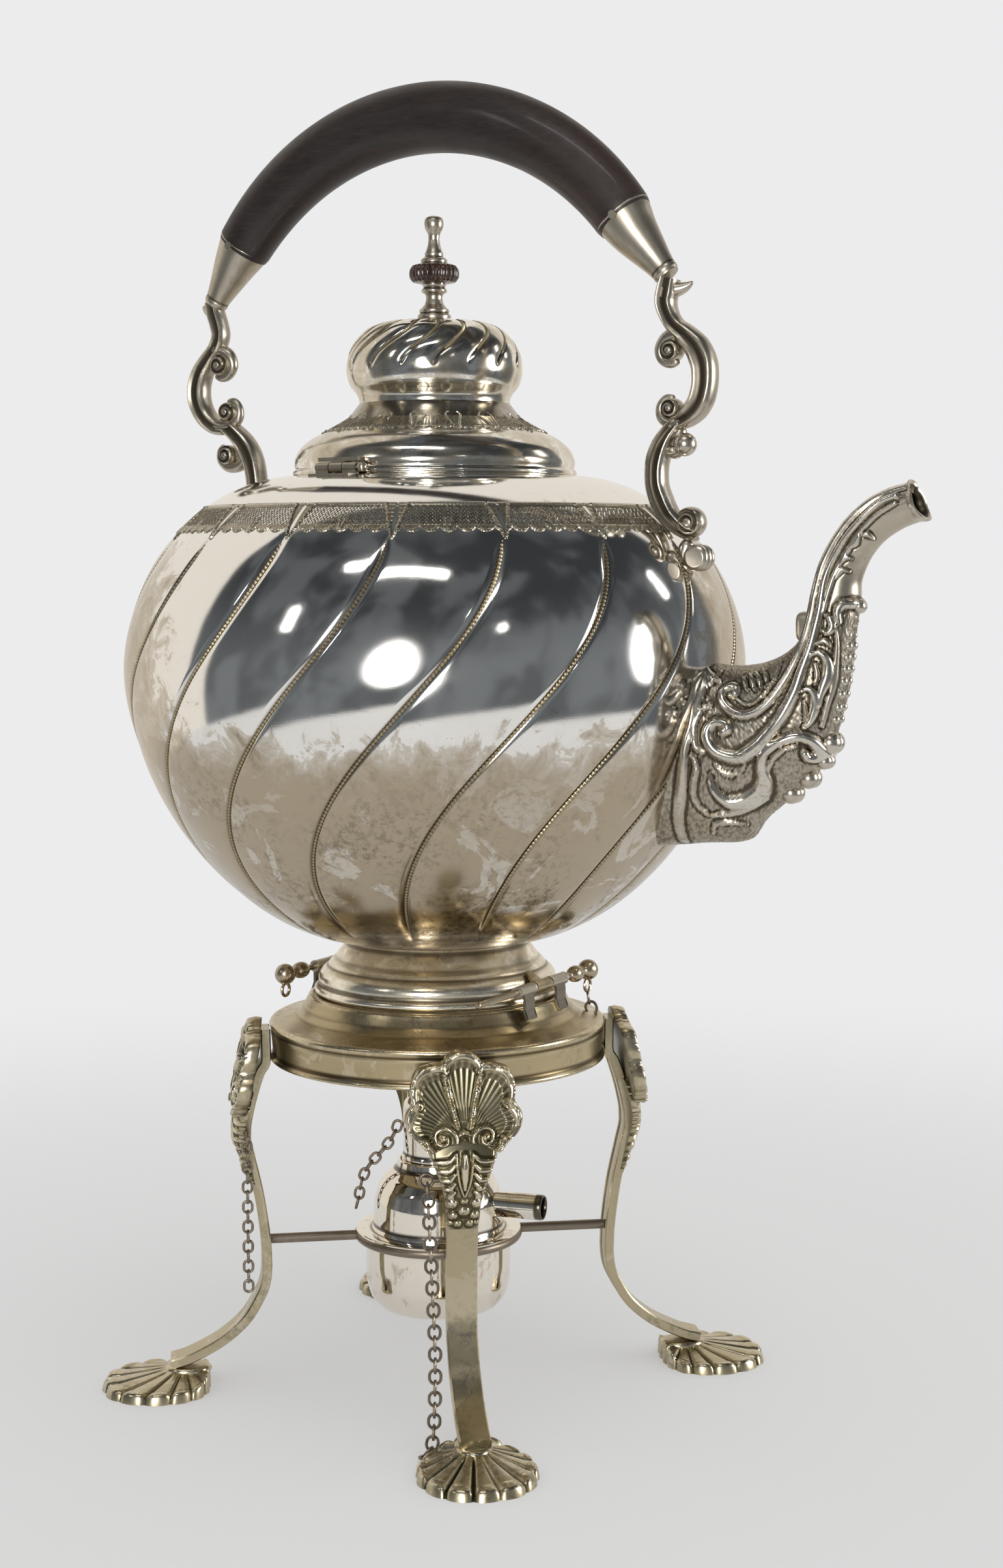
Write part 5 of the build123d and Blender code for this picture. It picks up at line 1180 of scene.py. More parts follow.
# Cast ornament on both sides of the spout: (reach, rise) points, half widths, height and pitch of beads
SPOUT_ORNAMENT = {
    "upper_scroll": ([(56.5, 52.2), (49.5, 50.3), (44, 46.2), (38.9, 40.7), (34.4, 33.1), (32.2, 26.1),
                      (30.7, 19.1), (29.7, 12.8), (27.5, 5), (24.9, -0.6), (21.6, -5.6), (18.1, -8.8),
                      (13.8, -10), (9.9, -8.7), (7.1, -5.9), (7, -3.5), (8.8, -2.4), (10.9, -2.7),
                      (10.9, -4.4), (9.6, -4.8)], (0.7, 0.8, 0.9, 1.0, 1.1, 1.2, 1.3, 0.9), 1.2, 0),
    "middle_rib": ([(52.2, 50.2), (47.3, 46.9), (42.7, 41.7), (38.4, 35.2), (35.1, 28.9), (32.9, 21.2),
                    (31.9, 15.6), (30.6, 10)], (0.5, 0.6, 0.6, 0.4), 0.55, 0.9),
    "lower_scroll": ([(54.8, 49.5), (50.3, 47.8), (45.3, 43.4), (41, 38.6), (37.3, 32.4), (35.2, 26.8),
                      (34.2, 19.8), (33, 14.2), (31.8, 8.6), (29.8, 2.2), (28.1, -3.4), (25, -9.8),
                      (21.5, -14.9), (17.3, -19.2), (12.5, -21.8), (7.3, -20.8), (4.4, -18), (3.9, -14.5),
                      (6, -12.3), (9.1, -12.6), (9.9, -14.3), (8.1, -15.1)],
                     (0.7, 0.8, 0.9, 1.1, 1.3, 1.7, 1.9, 1.6, 1.1), 1.6, 0),
    "outer_rib": ([(54.5, 47.8), (49, 44.4), (44.6, 40), (41.3, 35.2), (38.1, 29.6), (36.3, 24), (35, 18.4)],
                  (0.6, 0.8, 0.6), 0.8, 0),
    "edge_moulding": ([(0.4, 6.5), (-1.6, 4.3), (-1.4, 1.5), (0.6, -1.9), (-0.6, -6.8), (-1, -13.2),
                       (-2.6, -19), (-3.2, -23.3), (-4.6, -32.2), (-6.8, -40), (-8, -47)],
                      (1.3, 1.5, 1.2, 1.6, 1.3), 0.9, 0),
    "inner_rim": ([(3.8, -7.4), (1.5, -8.8), (0.2, -11.7), (-0.3, -16), (0.6, -19.6), (2.8, -20.6)],
                  (0.9, 1.1, 0.8), 0.9, 1.7),
    "wave": ([(-0.6, -21.8), (0.6, -24.7), (-0.5, -29.1), (-1.2, -32.9), (-0.4, -35.9), (1.6, -38.2)],
             (0.9, 1.1, 0.9), 0.8, 2.2),
    "crescent": ([(4.7, -26.7), (4.7, -29.7), (6.1, -32.7), (9.1, -34.9), (13.3, -34.4), (17.5, -31.7),
                  (19.1, -28), (18.9, -24.3), (19.8, -20.7), (23.2, -17.8), (27, -16), (30.1, -15.8),
                  (32.3, -17.3), (33.5, -20.1), (32.4, -21.6), (30.5, -21.7), (30.1, -20.2)],
                 (0.6, 1.3, 2.0, 2.2, 1.8, 1.3, 1.3, 1.5, 1.5, 1.0), 1.7, 0),
    "inner_crescent": ([(19.8, -28), (20.8, -24.3), (22.6, -21.4), (25.3, -19.3), (28.4, -18.3)],
                       (0.5, 0.8, 0.6), 0.8, 0),
    "first_leaf": ([(29.8, -3.4), (31.7, -2.4), (33.3, -4.2), (33.3, -7.8), (32, -11.5), (30.6, -13.3)],
                   (0.5, 1.0, 1.1, 0.6), 1.1, 0),
    "first_vein": ([(30.6, -5.6), (31.1, -8.5), (30.8, -11.4)], (0.4, 0.6, 0.4), 0.6, 0),
    "second_leaf": ([(31.8, 6.5), (34.4, 7.5), (36.4, 5), (36.3, 0.7), (34.8, -3.7), (34.1, -7.2)],
                    (0.6, 1.1, 1.2, 0.6), 1.2, 0),
    "second_vein": ([(33.4, 4.4), (34, 1.4), (33.4, -1.4)], (0.5, 0.7, 0.4), 0.6, 0),
    "third_leaf": ([(33.5, 10), (35.7, 10.7), (37.1, 9.3)], (0.5, 0.9, 0.5), 0.9, 0),
    "fourth_leaf": ([(35, 18.4), (36.9, 16.7), (37.5, 14.2), (36.3, 12.8), (34.8, 13.5)],
                    (0.5, 0.9, 1.0, 0.5), 1.0, 0),
    "knob_stalk": ([(39, 15.6), (38.6, 18.4), (39.7, 20.5), (41.6, 20.8)], (0.7, 1.1, 1.4), 1.3, 0),
    "long_edge": ([(38.3, 14.6), (38.6, 9.9), (38.2, 4.2), (37.5, -1.5), (36, -7.2), (34.5, -13)],
                  (0.4, 0.7, 0.5), 0.7, 0),
    "feather_edge": ([(11.6, -5.6), (14.3, -7.1), (17.3, -6.4), (20, -3.5), (21.9, 0), (22.8, 4.2)],
                     (0.5, 0.6, 0.4), 0.7, 0),
    "feather_1": ([(11.6, 0.2), (13, -1.4), (14.2, -3.4)], (0.3, 0.8, 0.4), 0.8, 0),
    "feather_2": ([(13.6, 0.9), (15.2, -0.9), (16.6, -3.4)], (0.3, 0.9, 0.4), 0.9, 0),
    "feather_3": ([(15.6, 1.4), (17.2, -0.4), (18.6, -2.9)], (0.3, 0.9, 0.4), 0.9, 0),
    "feather_4": ([(17.5, 2.2), (19.1, 0.4), (20.4, -1.9)], (0.3, 0.8, 0.4), 0.8, 0),
    "star_1": ([(-0.6, 2.1), (2.7, -0.4), (5.5, -1.1)], (0.4, 1.0, 0.4), 0.9, 0),
    "star_2": ([(1.2, -3.3), (3, -1.1), (4.3, 1.4)], (0.4, 0.9, 0.4), 0.8, 0),
    "spray_1": ([(41.3, 35.8), (43.1, 36.9), (44.6, 39.3)], (0.4, 1.0, 0.5), 0.9, 0),
    "spray_2": ([(45.3, 39.3), (46.6, 39.6), (47.9, 38.6)], (0.4, 0.9, 0.5), 0.9, 0),
    "spray_3": ([(39.5, 31.7), (40.6, 33.4), (42.2, 33.1)], (0.4, 1.0, 0.5), 0.9, 0),
    "spray_4": ([(38.1, 27.6), (39.5, 30), (41.4, 29.6)], (0.4, 0.9, 0.5), 0.8, 0),
    "fold": ([(2.4, -38.9), (8.2, -38.2), (13.5, -36.4), (18.7, -33.4)], (0.6, 1.1, 0.6), 0.9, 0),
    "tip": ([(1.8, -44.6), (3.4, -41.6), (7.3, -40.9), (12.1, -41.4)], (0.5, 0.9, 0.5), 0.7, 0),
    "lower_edge": ([(6, -24.2), (9, -26.8), (12.6, -26.2), (14.6, -23.6)], (0.5, 0.8, 0.5), 0.4, 0),
}


def spout_skin():
    """Spout with its ornament pushed out along the normal from a stippled ground, its lip drawn to a beak,
    and its bore."""
    outer = spout_rings(SPOUT)
    plane = np.stack([outer[..., 0] - BELLY, outer[..., 2] - BELLY_Z], -1)
    lift, moat = raised(plane, SPOUT_ORNAMENT.values())
    grain = np.random.default_rng(3).random(lift.shape)
    grain[:, -1] = grain[:, 0]
    fade_in = smooth(np.linspace(0, 1, len(SPOUT)), 0.06, 0.12)[:, None]
    ground = (1 - smooth(lift, 0.1, 0.4)) * (1 - smooth(plane[..., 1], 16, 24))
    outer = swollen(outer, (lift - 0.22 * grain * ground - 0.25 * moat) * fade_in)
    slope = math.radians(SPOUT[-1, 2])
    ahead = np.array([math.cos(slope), 0, math.sin(slope)])
    centre = outer[-1].mean(0)
    turn = np.linspace(0, 2 * math.pi, outer.shape[1])
    beak = (1.6 * np.clip(-np.cos(turn), 0, 1) ** 2 - 0.8 * np.clip(np.cos(turn), 0, 1) ** 3)[:, None] * ahead
    lip = []
    for push, grow, share in ((0.3, 1.03, 0.25), (0.9, 1.09, 0.6), (1.4, 1.1, 0.9), (1.6, 1.05, 1.0),
                              (1.5, 0.96, 0.98), (1.0, 0.86, 0.8), (0.2, 0.78, 0.3)):
        lip.append(centre + (outer[-1] - centre) * grow + ahead * push + beak * share)
    inner = spout_rings(SPOUT[:-1][::-1][:130:2], 1.3)
    end = np.repeat(inner[-1:].mean(1, keepdims=True), inner.shape[1], 1)
    start = np.repeat(outer[:1].mean(1, keepdims=True), outer.shape[1], 1)
    grid = np.concatenate([start, outer, np.array(lip), inner, end])
    # The bore is set deep, so it is painted in shade; the moat at the foot of the ornament and the stipple
    # take tarnish and painted shade.
    deep = np.full(grid.shape[:2], -0.95)
    deep[1:len(outer) + 1] = lift * 0.9 - 0.95 * moat - 0.45 * grain * ground - 0.1
    deep[len(outer) + 1:len(outer) + 6] = 0.4
    return grid, deep


def spout_knobs():
    """Knobs that break the spout's outline, and the small lug of its joint."""
    skins = []
    for reach, rise, y, radius in ((28.8, -28.0, 1.3, 2.9), (23.6, -32.4, 1.3, 3.0), (35.0, -17.8, 1.2, 3.3),
                                   (42.6, 20.0, 0.4, 2.1), (40.7, 17.0, 0.4, 1.4), (33.4, -23.0, 1.2, 2.3)):
        for hand in (1, -1):
            skins.append((ball((BELLY + reach, hand * y, BELLY_Z + rise), radius, 14, 20), 0.5))
    for reach, rise in ((40.0, 12.0), (40.2, 9.1), (39.8, 6.0), (39.4, 2.8), (38.8, -0.6), (38.2, -4.2),
                        (37.4, -7.8), (36.6, -11.2)):
        for hand in (1, -1):
            skins.append((ball((BELLY + reach, hand * 1.8, BELLY_Z + rise), 1.42, 10, 16), 0.5))
    lug = ball((0, 0, 0), 1.0, 18, 28)
    lug = np.sign(lug) * np.abs(lug) ** 0.55
    skins.append((lug * (3.0, 2.6, 4.2) + (BELLY + 27.4, 0, BELLY_Z + 14.2), 0.0))
    return skins


make_piece("spout_cast", [spout_skin()], "kettle", CAST, ["spout"])
make_piece("spout_knobs", spout_knobs(), "kettle", CAST)

# Kettle's pedestal and the stand's ring
PEDESTAL_LINE = [
    (0, 0.4), (33, 0.4), (36.6, 0), (37.5, 0.4), (37.8, 1.3), (37.5, 2.3), (36.6, 2.8), (36.2, 3.1),
    (36.2, 3.7), (36.5, 4.4), (36.3, 5.6), (35.7, 6.7), (34.6, 7.9), (33.5, 8.5), (33.2, 8.9), (33.1, 9.4),
    (32.5, 10.1), (31.6, 10.6), (30.6, 11.9), (29.3, 13.6), (28.0, 15.2), (27.3, 16.3), (27.3, 17.4),
    (0, 17.4),
]
RING_LINE = [
    (33.4, 0.4), (38.6, 0), (39.4, 0.5), (39.8, 1.6), (41.2, 4.2), (43.4, 6.4), (46.2, 7.4), (49.2, 8.0),
    (50.6, 8.1), (51.4, 8.6), (51.7, 9.4), (51.3, 10.2), (51.0, 10.9), (51.2, 11.6), (50.9, 13.5),
    (50.6, 17.6), (50.8, 18.4), (51.5, 18.9), (51.6, 19.6), (51.2, 20.0), (49.9, 20.0), (49.4, 19.0),
    (49.4, 10.6), (44.0, 8.6), (38.0, 3.4), (33.4, 2.4), (33.4, 0.4),
]
make_piece("pedestal", [turned(PEDESTAL_LINE, SEAT_Z, 180)], "kettle", PEDESTAL,
           ["kettle_foot"])
make_piece("stand_collar", [turned(RING_LINE, SEAT_Z, 200, True)], "stand", RING_METAL,
           ["stand_ring"])

# Legs: the strap's inner line as (reach from the ring, share of the height under the ring)
LEG_LINE = [
    (0.0, 1.1), (0.0, 1.0), (2.2, 0.955), (5.0, 0.861), (6.3, 0.777), (4.8, 0.698), (2.5, 0.594),
    (0.9, 0.485), (0.2, 0.391), (0.8, 0.317), (3.0, 0.262), (7.5, 0.193), (15.0, 0.13), (24.5, 0.082),
    (30.6, 0.064),
]
LEG_CURVE = through(LEG_LINE, 200) * (1, UNDERSIDE_Z)


def strap_face(z):
    """Reach of the strap's outer face from the ring at a height."""
    return np.interp(z, LEG_CURVE[::-1, 1], LEG_CURVE[::-1, 0]) + 3.0


def leg_strap():
    """Flat strap: a section with eased edges and two raised margins, carried along the leg's line."""
    slope = np.gradient(LEG_CURVE, axis=0)
    slope /= np.linalg.norm(slope, axis=1, keepdims=True)
    middle = LEG_CURVE + np.stack([-slope[:, 1], slope[:, 0]], -1) * 1.5
    line = np.stack([RING + middle[:, 0], 0 * middle[:, 0], middle[:, 1]], -1)
    half = np.array([(4.0, 1.5), (4.5, 1.1), (4.5, 0), (4.5, -1.1), (4.1, -1.5), (2, -1.5), (0, -1.5),
                     (-2, -1.5), (-4.1, -1.5), (-4.5, -1.1), (-4.5, 0), (-4.5, 1.1), (-4.0, 1.5),
                     (-3.2, 1.45), (-2.9, 1.12), (-1.4, 1.18), (0, 1.25), (1.4, 1.18), (2.9, 1.12),
                     (3.2, 1.45)])
    grid = sweep(line, half * (1, -1))
    deep = np.array([0.5, 0.5, 0, 0, 0, 0, 0, 0, 0, 0, 0, 0, 0.5, 0.3, -0.5, -0.3, 0, -0.3, -0.5, 0.3, 0.5])
    return grid, np.repeat(deep[None], grid.shape[0], 0)


# Shell on the leg, in the plane across the leg: side and rise over the shell's hinge point
SHELL_Z = UNDERSIDE_Z * 0.886
SHELL_X = RING + float(strap_face(UNDERSIDE_Z * 0.777)) - 0.6
SHELL_EDGE = [(0, 24.4), (6, 24.0), (11, 23.0), (15, 21.7), (22, 22.4), (28, 22.9), (34, 23.0), (40, 22.2),
              (46, 20.7), (50, 19.4), (54, 17.9), (61, 17.7), (68, 17.7), (74, 17.3), (80, 16.3), (86, 14.9),
              (92, 13.2), (98, 12.1), (106, 11.2), (112, 10.8)]
SHELL_STRANDS = [
    ([(5.1, 17.4), (3.6, 10.6), (1.9, 3.2)], (0.9, 0.8, 0.7), 0.9, 0.8),
    ([(10.5, -1.2), (9.0, -2.9), (7.1, -3.7), (4.1, -3.1), (2.4, -1.4), (2.5, 1.0), (4.2, 2.9), (6.6, 3.1),
      (8.3, 1.5), (8.1, -0.5), (6.6, -1.5), (5.0, -0.8), (4.9, 0.7)], (0.55, 0.7, 0.65, 0.6, 0.45), 1.5, 0),
    ([(6.1, 0.5), (6.5, 0.6)], (1.0, 1.0), 1.5, 0),
    ([(0.0, 2.0), (1.5, 1.3)], (0.6, 0.5), 1.2, 0), ([(0.0, -0.3), (1.9, -1.5)], (0.6, 0.5), 1.2, 0),
    ([(0.0, -2.2), (2.0, -3.3)], (0.6, 0.5), 1.1, 0),
    ([(5.7, 21.2), (5.4, 19.0), (4.5, 18.1), (3.9, 18.9)], (0.5, 0.6, 0.45), 1.1, 0),
    ([(14.4, 10.4), (12.4, 10.2), (11.5, 9.3), (12.3, 8.5)], (0.5, 0.6, 0.45), 1.1, 0),
    ([(11.0, -3.4), (10.4, -1.4), (11.2, 0.2), (12.4, -0.4)], (0.5, 0.65, 0.45), 1.1, 0),
]


def shell_fan():
    """Scallop fan: a hollow cup with fine radial flutes, ribbed cords, volutes, and a narrow ruffled rim
    whose gadroons follow the cosine of the turn."""
    columns, rows = 321, 84
    turn = np.linspace(-112, 112, columns)
    edge = np.interp(np.abs(turn), *along_table(SHELL_EDGE))
    share = np.linspace(0, 1, rows)[:, None]
    gadroon = np.abs(np.cos(np.radians(turn) * 10.5))
    radius = share * (edge + 0.3 * (gadroon - 0.5))[None, :]
    from_edge = edge[None, :] - radius
    side = radius * np.sin(np.radians(turn))[None, :]
    rise = radius * np.cos(np.radians(turn))[None, :]
    flute = np.abs(np.cos(np.radians(turn)[None, :] * 33.0))
    rim = ridge(from_edge - 1.1, 1.25)
    lip = ridge(from_edge - 0.35, 0.4)
    inside = smooth(from_edge, 2.2, 3.0)
    cup = -1.5 * smooth(from_edge, 1.8, 5.0) * smooth(radius, 4.5, 9.0)
    strands, moat = raised(np.stack([np.abs(side), rise], -1), SHELL_STRANDS)
    relief = (0.45 * (flute - 0.6) * smooth(radius, 4.0, 7.0) * inside * (strands < 0.1)
              + 0.75 * rim * (0.45 + 0.55 * gadroon[None, :]) + 0.5 * lip)
    relief = np.maximum(relief, strands)
    ends = np.clip((112 - np.abs(turn)) / 4, 0, 1)[None, :]
    face = SHELL_X + 2.1 - 0.2 * rise + cup + relief * ends
    back = SHELL_X - 1.3 - 0.2 * rise
    back = face * (1 - ends) + back * ends
    middle = (face[-1:] + back[-1:]) / 2
    front = np.stack([face, side, SHELL_Z + rise], -1)
    edge_row = np.stack([middle, side[-1:] * 1.015, SHELL_Z + rise[-1:] * 1.015], -1)
    rear = np.stack([back, side, SHELL_Z + rise], -1)[np.linspace(rows - 1, 0, 14).astype(int)]
    # The cup's hollow and the moat take tarnish and painted shade, and the back is painted in shade.
    deep = relief * 1.15 - 0.5 * inside * (strands < 0.1) - 0.9 * moat - 0.1
    deep = np.concatenate([deep, deep[-1:], np.full(rear.shape[:2], -0.6)])
    return np.concatenate([front, edge_row, rear]), deep


TAIL_BEAD = [
    ([(0.0, -4.6), (0.0, -9.5), (0.0, -14.6)], (0.8, 1.3, 1.1, 0.5), 1.5, 0),
    ([(2.4, -4.2), (2.1, -9.0), (1.4, -13.2), (0.2, -16.8)], (0.5, 0.5, 0.4), 1.1, 0),
]
TAIL_GADROONS = [
    ([(2.9, -4.6 - drop), (4.0, -6.0 - drop), (5.6 - 0.5 * step, -6.5 - drop),
      (9.0 - 1.15 * step, -6.4 - drop)], (0.6, 0.85, 0.85, 0.6), 1.3, 0)
    for step, drop in enumerate(2.7 * np.arange(5))
]
TAIL_BLOSSOMS = [
    ([(side, rise), (side + 0.3, rise)], (size, size), size * 0.95, 0)
    for side, rise, size in ((3.4, -19.0, 1.5), (0.0, -21.4, 1.5), (2.9, -22.8, 1.2),
                             (1.6, -25.4, 1.0), (3.6, -25.2, 0.7), (0.0, -18.4, 0.9))
]
TAIL_STRANDS = TAIL_BEAD + TAIL_GADROONS + TAIL_BLOSSOMS


def shell_tail():
    """Tapering tail under the shell: curved gadroons on each side of a long bead, and a knot of small
    blossoms where the plain strap begins."""
    rows, columns = 136, 85
    rise = np.linspace(3.0, -27.5, rows)[:, None]
    across = np.linspace(-1, 1, columns)[None, :]
    half = np.interp(-rise, [-3, 2, 5, 8, 12, 16, 20, 24, 27.5],
                     [8.2, 10.2, 9.8, 8.6, 7.2, 5.9, 5.1, 4.8, 4.4])
    side = across * half
    z = SHELL_Z + rise
    fullness = np.interp(-rise, [-3, 2, 12, 27.5], [0.6, 1.0, 0.8, 0.3])
    crown = 2.2 * np.sqrt(np.clip(1 - across ** 2, 0, 1)) * fullness
    strands, moat = raised(np.stack([np.abs(side), rise + 0 * side], -1), TAIL_STRANDS)
    margin = 0.35 * ridge(np.abs(across) - 0.93, 0.08)
    relief = np.maximum(strands, margin)
    face = RING + strap_face(z)
    x = face - 0.3 + crown + relief
    back = face - 1.0 + 0 * x
    edge = (np.abs(across) > 0.999) | (rise > 2.95) | (rise < -27.4)
    x = np.where(edge, back, x)
    front = np.stack([x, side, z + 0 * x], -1)
    rear = np.stack([back, side, z + 0 * x], -1)[np.linspace(rows - 1, 0, 16).astype(int)]
    # The tail is set a little deep and its moat more, for tarnish and painted shade under the shell; its back
    # is painted in shade.
    deep = relief * 1.1 - 0.45 - 0.6 * moat
    return np.concatenate([front, rear]), np.concatenate([deep, np.full(rear.shape[:2], -0.6)])


# Scallop foot, spread along the leg's outward direction
FOOT_REACH = [(0, 25.0), (25, 24.2), (50, 20.8), (75, 17.2), (100, 14.2), (125, 10.8), (150, 8.2), (180, 7.0)]
FOOT_NOTCHES = [(-172, 0.2), (-142, 0.3), (-116, 0.4), (-92, 0.5), (-70, 0.6), (-48, 0.7), (-27, 1.0),
                (-8, 1.0), (10, 0.45), (30, 0.5), (51, 0.6), (73, 0.45), (96, 0.5), (120, 0.4), (146, 0.3)]


def foot_fan():
    """Low oval fan of broad petals: each petal swells between two notches, a few notches are cut deep, and
    the thick edge rolls down to the floor."""
    columns, rows = 400, 46
    turn = np.linspace(-180, 180, columns + 1)
    bearing = np.radians(turn)[None, :]
    reach = np.interp(np.abs(turn), *along_table(FOOT_REACH))
    spots = np.array([angle for angle, depth in FOOT_NOTCHES] + [FOOT_NOTCHES[0][0] + 360], float)
    before = np.searchsorted(spots, np.where(turn < spots[0], turn + 360, turn), "right") - 1
    before = np.clip(before, 0, len(spots) - 2)
    here = np.where(turn < spots[0], turn + 360, turn)
    petal = (here - spots[before]) / (spots[before + 1] - spots[before])
    crest = np.clip(1 - np.abs(2 * petal - 1) ** 2.6, 0, 1)
    share = np.linspace(0, 1, rows)[:, None]
    out = share * (reach + 1.1 * crest ** 0.7 - 0.7)[None, :]
    grooves = np.zeros((rows, columns + 1))
    for angle, depth in FOOT_NOTCHES:
        gap = np.abs((turn - angle + 180) % 360 - 180)[None, :] * math.pi / 180 * np.maximum(out, 1.0)
        grooves = np.maximum(grooves, depth * np.clip(1 - gap / (0.35 + 0.75 * share), 0, 1))
    edge_high = 2.3 + 3.2 * smooth(np.abs(turn), 96, 150)[None, :]
    z = edge_high + (7.2 - edge_high) * (1 - share) ** 1.3 + 0.5 * crest[None, :] * smooth(share, 0.2, 0.8)
    z = z - 0.75 * grooves * smooth(share, 0.22, 0.42) + 0.35 * ridge(share - 0.9, 0.07) * crest[None, :]
    roll = np.clip((share - 0.94) / 0.06, 0, 1)
    z = z * np.sqrt(np.clip(1 - roll ** 2, 0, 1))
    apex = RING + 27.0
    x = apex + out * np.cos(bearing)
    y = out * np.sin(bearing)
    grid = np.stack([x, y, z], -1)
    middle = np.zeros_like(grid[:1])
    middle[..., 0] = apex
    deep = 0.2 * crest[None, :] - grooves * smooth(share, 0.2, 0.4) - 0.15
    deep = deep + ridge(share - 0.93, 0.05) * crest[None, :]
    grid = np.concatenate([middle + (0, 0, 7.6), grid[1:], middle])
    # The centre under the foot is set deep, so the underside is painted in shade.
    return grid, np.concatenate([deep, np.full_like(deep[:1], -0.5)])


def foot_collar():
    """Round boss under the strap's cut end, where the fan begins."""
    line = [(0, 0), (6.2, 0), (6.4, 1.0), (6.0, 1.9), (5.4, 2.2), (0, 2.3)]
    grid, deep = turned(line, 4.4, 60)
    return grid * (1.15, 0.86, 1) + (RING + 26.2, 0, 0), deep


def legs():
    """Strap, foot and shell of each of the four legs, turned to its place."""
    for where, angle in LEG_ANGLES.items():
        parts = {"strap": ([leg_strap()], f"leg_{where}"),
                 "foot_fan": ([foot_fan(), foot_collar()], f"foot_{where}"),
                 "shell": ([shell_fan(), shell_tail()], f"leg_shell_{where}")}
        for part, (skins, node) in parts.items():
            make_piece(f"{part}_{where}", spun_skins(skins, angle), "stand", STAND, [node])


legs()

# Burner cradle, burner and snuffer
for where in LEG_ANGLES:
    dress(f"burner_arm_{where}", WIRE)
dress("burner_ring", WIRE)
BRIM_Z = extent("burner_reservoir", "z")[1]
DOME_TOP_Z = extent("burner_dome", "z")[1]
TUBE_TOP_Z = extent("wick_tube", "z")[1]
RESERVOIR_LINE = [
    (0, -25.2), (8, -25.3), (14.4, -25.1), (18.4, -24.0), (21.0, -21.0), (22.2, -16.8), (22.5, -11),
    (22.4, -4), (22.5, -1.4), (24.6, -0.9), (25.7, -0.6), (25.9, -0.1), (25.4, 0.25), (24.0, 0.2),
    (21.0, 0.1), (19.2, 0.0), (19.2, -1.2), (21.3, -2), (21.5, -10), (20.0, -19.4), (13, -24.0), (0, -24.2),
]
DOME_LINE = [
    (19.3, -0.4), (20.6, -0.3), (20.9, 0.3), (20.5, 1.0), (20.2, 1.6), (20.1, 5), (19.7, 9.5), (18.6, 13.4),
    (16.6, 16.6), (14.0, 18.7), (12.9, 19.2), (12.9, 20.2), (12.5, 20.8), (12.7, 21.6), (12.0, 21.9),
    (4.8, 21.9), (4.8, 20.8), (11.4, 20.4), (13.2, 18.0), (17.4, 13.8), (18.9, 8), (19.1, 0.4),
    (19.3, -0.4),
]
CAP_LINE = [
    (10.2, 0), (11.2, 0), (11.4, 0.5), (11.3, 1.1), (10.8, 1.5), (10.8, 4), (10.7, 9), (10.7, 15.5),
    (10.4, 17.6), (9.2, 19.0), (7.0, 19.9), (4.6, 20.3), (2.4, 20.6), (1.8, 21.0), (1.5, 21.5), (1.9, 22.0),
    (2.5, 22.6), (2.6, 23.3), (2.1, 23.9), (1.2, 24.1), (0, 24.1),
]
CAP_INSIDE = [(0, 19.4), (6.8, 19.1), (9.4, 17.6), (9.9, 15), (9.9, 1), (10.2, 0)]
cap_z = extent("snuffer_cap", "z")[0]
make_piece("burner_pot", [turned(RESERVOIR_LINE, BRIM_Z, 96)], "burner", BURNER,
           ["burner_reservoir"])
make_piece("burner_cover", [turned(DOME_LINE, DOME_TOP_Z - 21.6, 96)], "burner", BURNER,
           ["burner_dome"])
make_piece("snuffer_hood", [turned(CAP_INSIDE + CAP_LINE[1:], cap_z, 72)], "snuffer", BURNER,
           ["snuffer_cap"])
dress("wick_tube", BURNER)


def handle_socket():
    """Plain tube for the burner's handle, open at its end."""
    line = [(0, 18.2), (3.9, 18.2), (3.9, 26), (3.9, 34.0), (3.75, 34.4), (3.4, 34.5), (3.1, 34.3),
            (3.05, 33.5), (3.0, 24.2), (0, 24.0)]
    grid, deep = turned(line, 0, 40)
    # The open end's inside is set deep, so it is painted in shade.
    deep[-24:] = -0.9
    placed = moved(grid, (0, 0, BRIM_Z + 8.6), (0, 1, 0), (0, 0, 1), (1, 0, 0))
    return spin(placed, 12.0), deep


make_piece("handle_socket_tube", [handle_socket()], "burner", BURNER, ["handle_socket"])


def wick():
    """Bundle of cotton strands in rings of 1, 6 and 12. Each sways with the sine of its height, and flares
    over the tube."""
    low, high = extent("wick", "z")
    chance = np.random.default_rng(7)
    skins = []
    inner_ring = [(60.0 * number, 1.75) for number in range(6)]
    outer_ring = [(30.0 + 30 * number, 3.05) for number in range(12)]
    for angle, ring in [(0.0, 0.0)] + inner_ring + outer_ring:
        turn = math.radians(angle)
        z = np.linspace(low + 0.4, high - 0.8 + 0.7 * chance.random(), 40)
        flare = 1 + 0.18 * smooth(z, TUBE_TOP_Z - 1, high) * (chance.random() + 0.1)
        sway = 0.25 * np.sin(z / 4.0 + angle)
        x = ring * math.cos(turn) * flare + sway * smooth(z, TUBE_TOP_Z, high)
        y = ring * math.sin(turn) * flare
        skins.append(rod(np.stack([x, y, z], -1), 0.78, (0.2, 1, 0), 8))
    return skins


make_piece("wick_strands", wick(), "burner", WICK, ["wick"])

# Tilt hinges and pins
for node in ("lid_hinge_lower", "lid_hinge_upper", "lid_hinge_pin", "finial_nut"):
    dress(node, CAST)


def on_tilt_axis(grid):
    """Turned grid laid along the front pin's axis."""
    return moved(grid, (PIN_X, 0, PIN_Z), (0, 0, 1), (1, 0, 0), (0, 1, 0))


